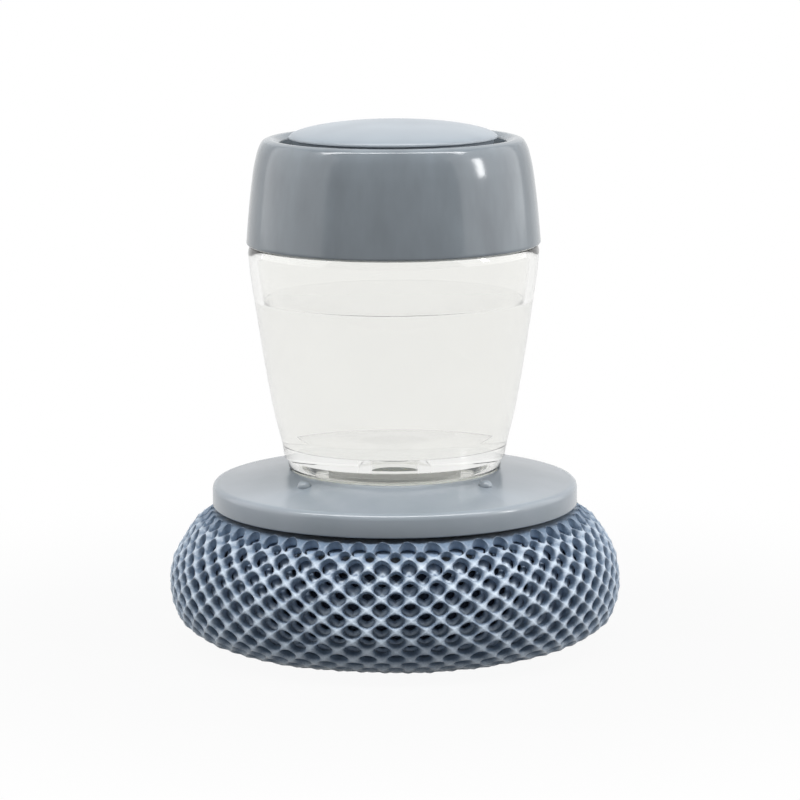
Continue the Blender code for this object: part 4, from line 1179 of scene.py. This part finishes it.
@dataclass
class Studio:
    """Pale floor, soft lamps, white surroundings and the camera at the photograph's angle."""

    distance: float = 700.0
    elevation: float = 9.56
    roll: float = -0.3
    target_height: float = 47.1
    scale: float = 5.11
    frame_pixels: int = 800
    pan_pixels: float = 5.6
    floor_size: float = 12.0
    world_fill: float = 0.20
    floor_share: float = 0.94
    shadow_reach: float = 0.16
    lamps: tuple[Softbox, ...] = (
        Softbox("left_softbox", (-1.3, 0.05, 0.42), (2.0, 1.6), 11.0),
        Softbox("right_softbox", (1.3, 0.05, 0.42), (2.0, 1.6), 13.0),
        Softbox("side_window", (0.749, -0.173, 0.335), (0.10, 0.22), 1.1),
        Softbox("overhead_strip", (0.0, -0.24, 1.05), (2.0, 0.2), 19.0),
    )

    def build(self) -> None:
        """Build the floor, the world, the lamps and the camera."""
        target = Vector((0, 0, self.target_height * MM))
        self.world()
        self.floor()
        for lamp in self.lamps:
            lamp.build(target)
        self.camera(target)
        bpy.context.scene.view_settings.view_transform = "Standard"

    @staticmethod
    def seen(tree: bpy.types.NodeTree) -> bpy.types.NodeSocket:
        """1 for rays from the camera, a mirror or glass, and 0 for the light on the brush."""
        path = add_node(tree, "LightPath")
        direct = add_node(tree, "Math", {
            0: path.outputs["Is Camera Ray"], 1: path.outputs["Is Glossy Ray"],
        }, operation="MAXIMUM")
        every = add_node(tree, "Math", {
            0: direct.outputs[0], 1: path.outputs["Is Transmission Ray"],
        }, operation="MAXIMUM")
        return every.outputs[0]

    def world(self) -> None:
        """White surroundings that light the brush at a plain level."""
        world = bpy.data.worlds.new("white_surroundings")
        world.use_nodes = True
        tree = world.node_tree
        tree.nodes.clear()
        strength = add_node(tree, "MapRange", {0: self.seen(tree), 3: self.world_fill, 4: 1.0})
        sky = add_node(tree, "Background", {"Color": (1, 1, 1, 1), "Strength": strength.outputs[0]})
        add_node(tree, "OutputWorld", {"Surface": sky.outputs[0]})
        bpy.context.scene.world = world

    def floor(self) -> None:
        """Pale floor that keeps the brush's shadow."""
        shape = bmesh.new()
        bmesh.ops.create_grid(shape, x_segments=1, y_segments=1, size=self.floor_size / 2)
        obj = new_object("studio_floor", shape)
        material, tree, place = blank_material("matt white paper sweep")
        paper = add_node(tree, "BsdfPrincipled", {
            "Base Color": tinted(tree, noise_at(tree, place, 40.0), "#7A7A7A", "#808080"), "Roughness": 0.9,
        })
        glow = add_node(tree, "Emission", {"Color": (1, 1, 1, 1), "Strength": 1.0})
        far = add_node(tree, "VectorMath", {0: place}, operation="LENGTH")
        open_share = add_node(tree, "MapRange", {
            0: far.outputs["Value"], 1: 0.05, 2: self.shadow_reach, 3: self.floor_share, 4: 1.0,
        }, interpolation_type="SMOOTHSTEP")
        share = add_node(tree, "Math", {0: self.seen(tree), 1: open_share.outputs[0]}, operation="MULTIPLY")
        surface = add_node(tree, "MixShader", {0: share.outputs[0], 1: paper.outputs[0], 2: glow.outputs[0]})
        add_node(tree, "OutputMaterial", {"Surface": surface.outputs[0]})
        obj.data.materials.append(material)

    def camera(self, target: Vector) -> None:
        """The camera at the photograph's angle, height and framing."""
        lens = bpy.data.cameras.new("camera")
        lens.sensor_width = 36.0
        lens.lens = self.scale * self.distance * lens.sensor_width / self.frame_pixels
        lens.shift_x = self.pan_pixels / self.frame_pixels
        lens.clip_start = 0.01
        obj = bpy.data.objects.new("camera", lens)
        bpy.context.scene.collection.objects.link(obj)
        tilt = math.radians(90 - self.elevation)
        up = math.radians(self.elevation)
        away = Vector((0, -math.cos(up), math.sin(up))) * self.distance * MM
        obj.matrix_world = (
            Matrix.Translation(target + away) @ Matrix.Rotation(tilt, 4, "X")
            @ Matrix.Rotation(math.radians(self.roll), 4, "Z")
        )
        bpy.context.scene.camera = obj


def main() -> None:
    """Build each sub-assembly in turn, then the studio, and keep the sizes."""
    for part in (NetPad(), HeadDisc(), Reservoir(), Cap(), PressButton()):
        log.info("building %s", type(part).__name__)
        part.build()
    Studio().build()
    bpy.context.view_layer.update()


if __name__ == "__main__":
    main()
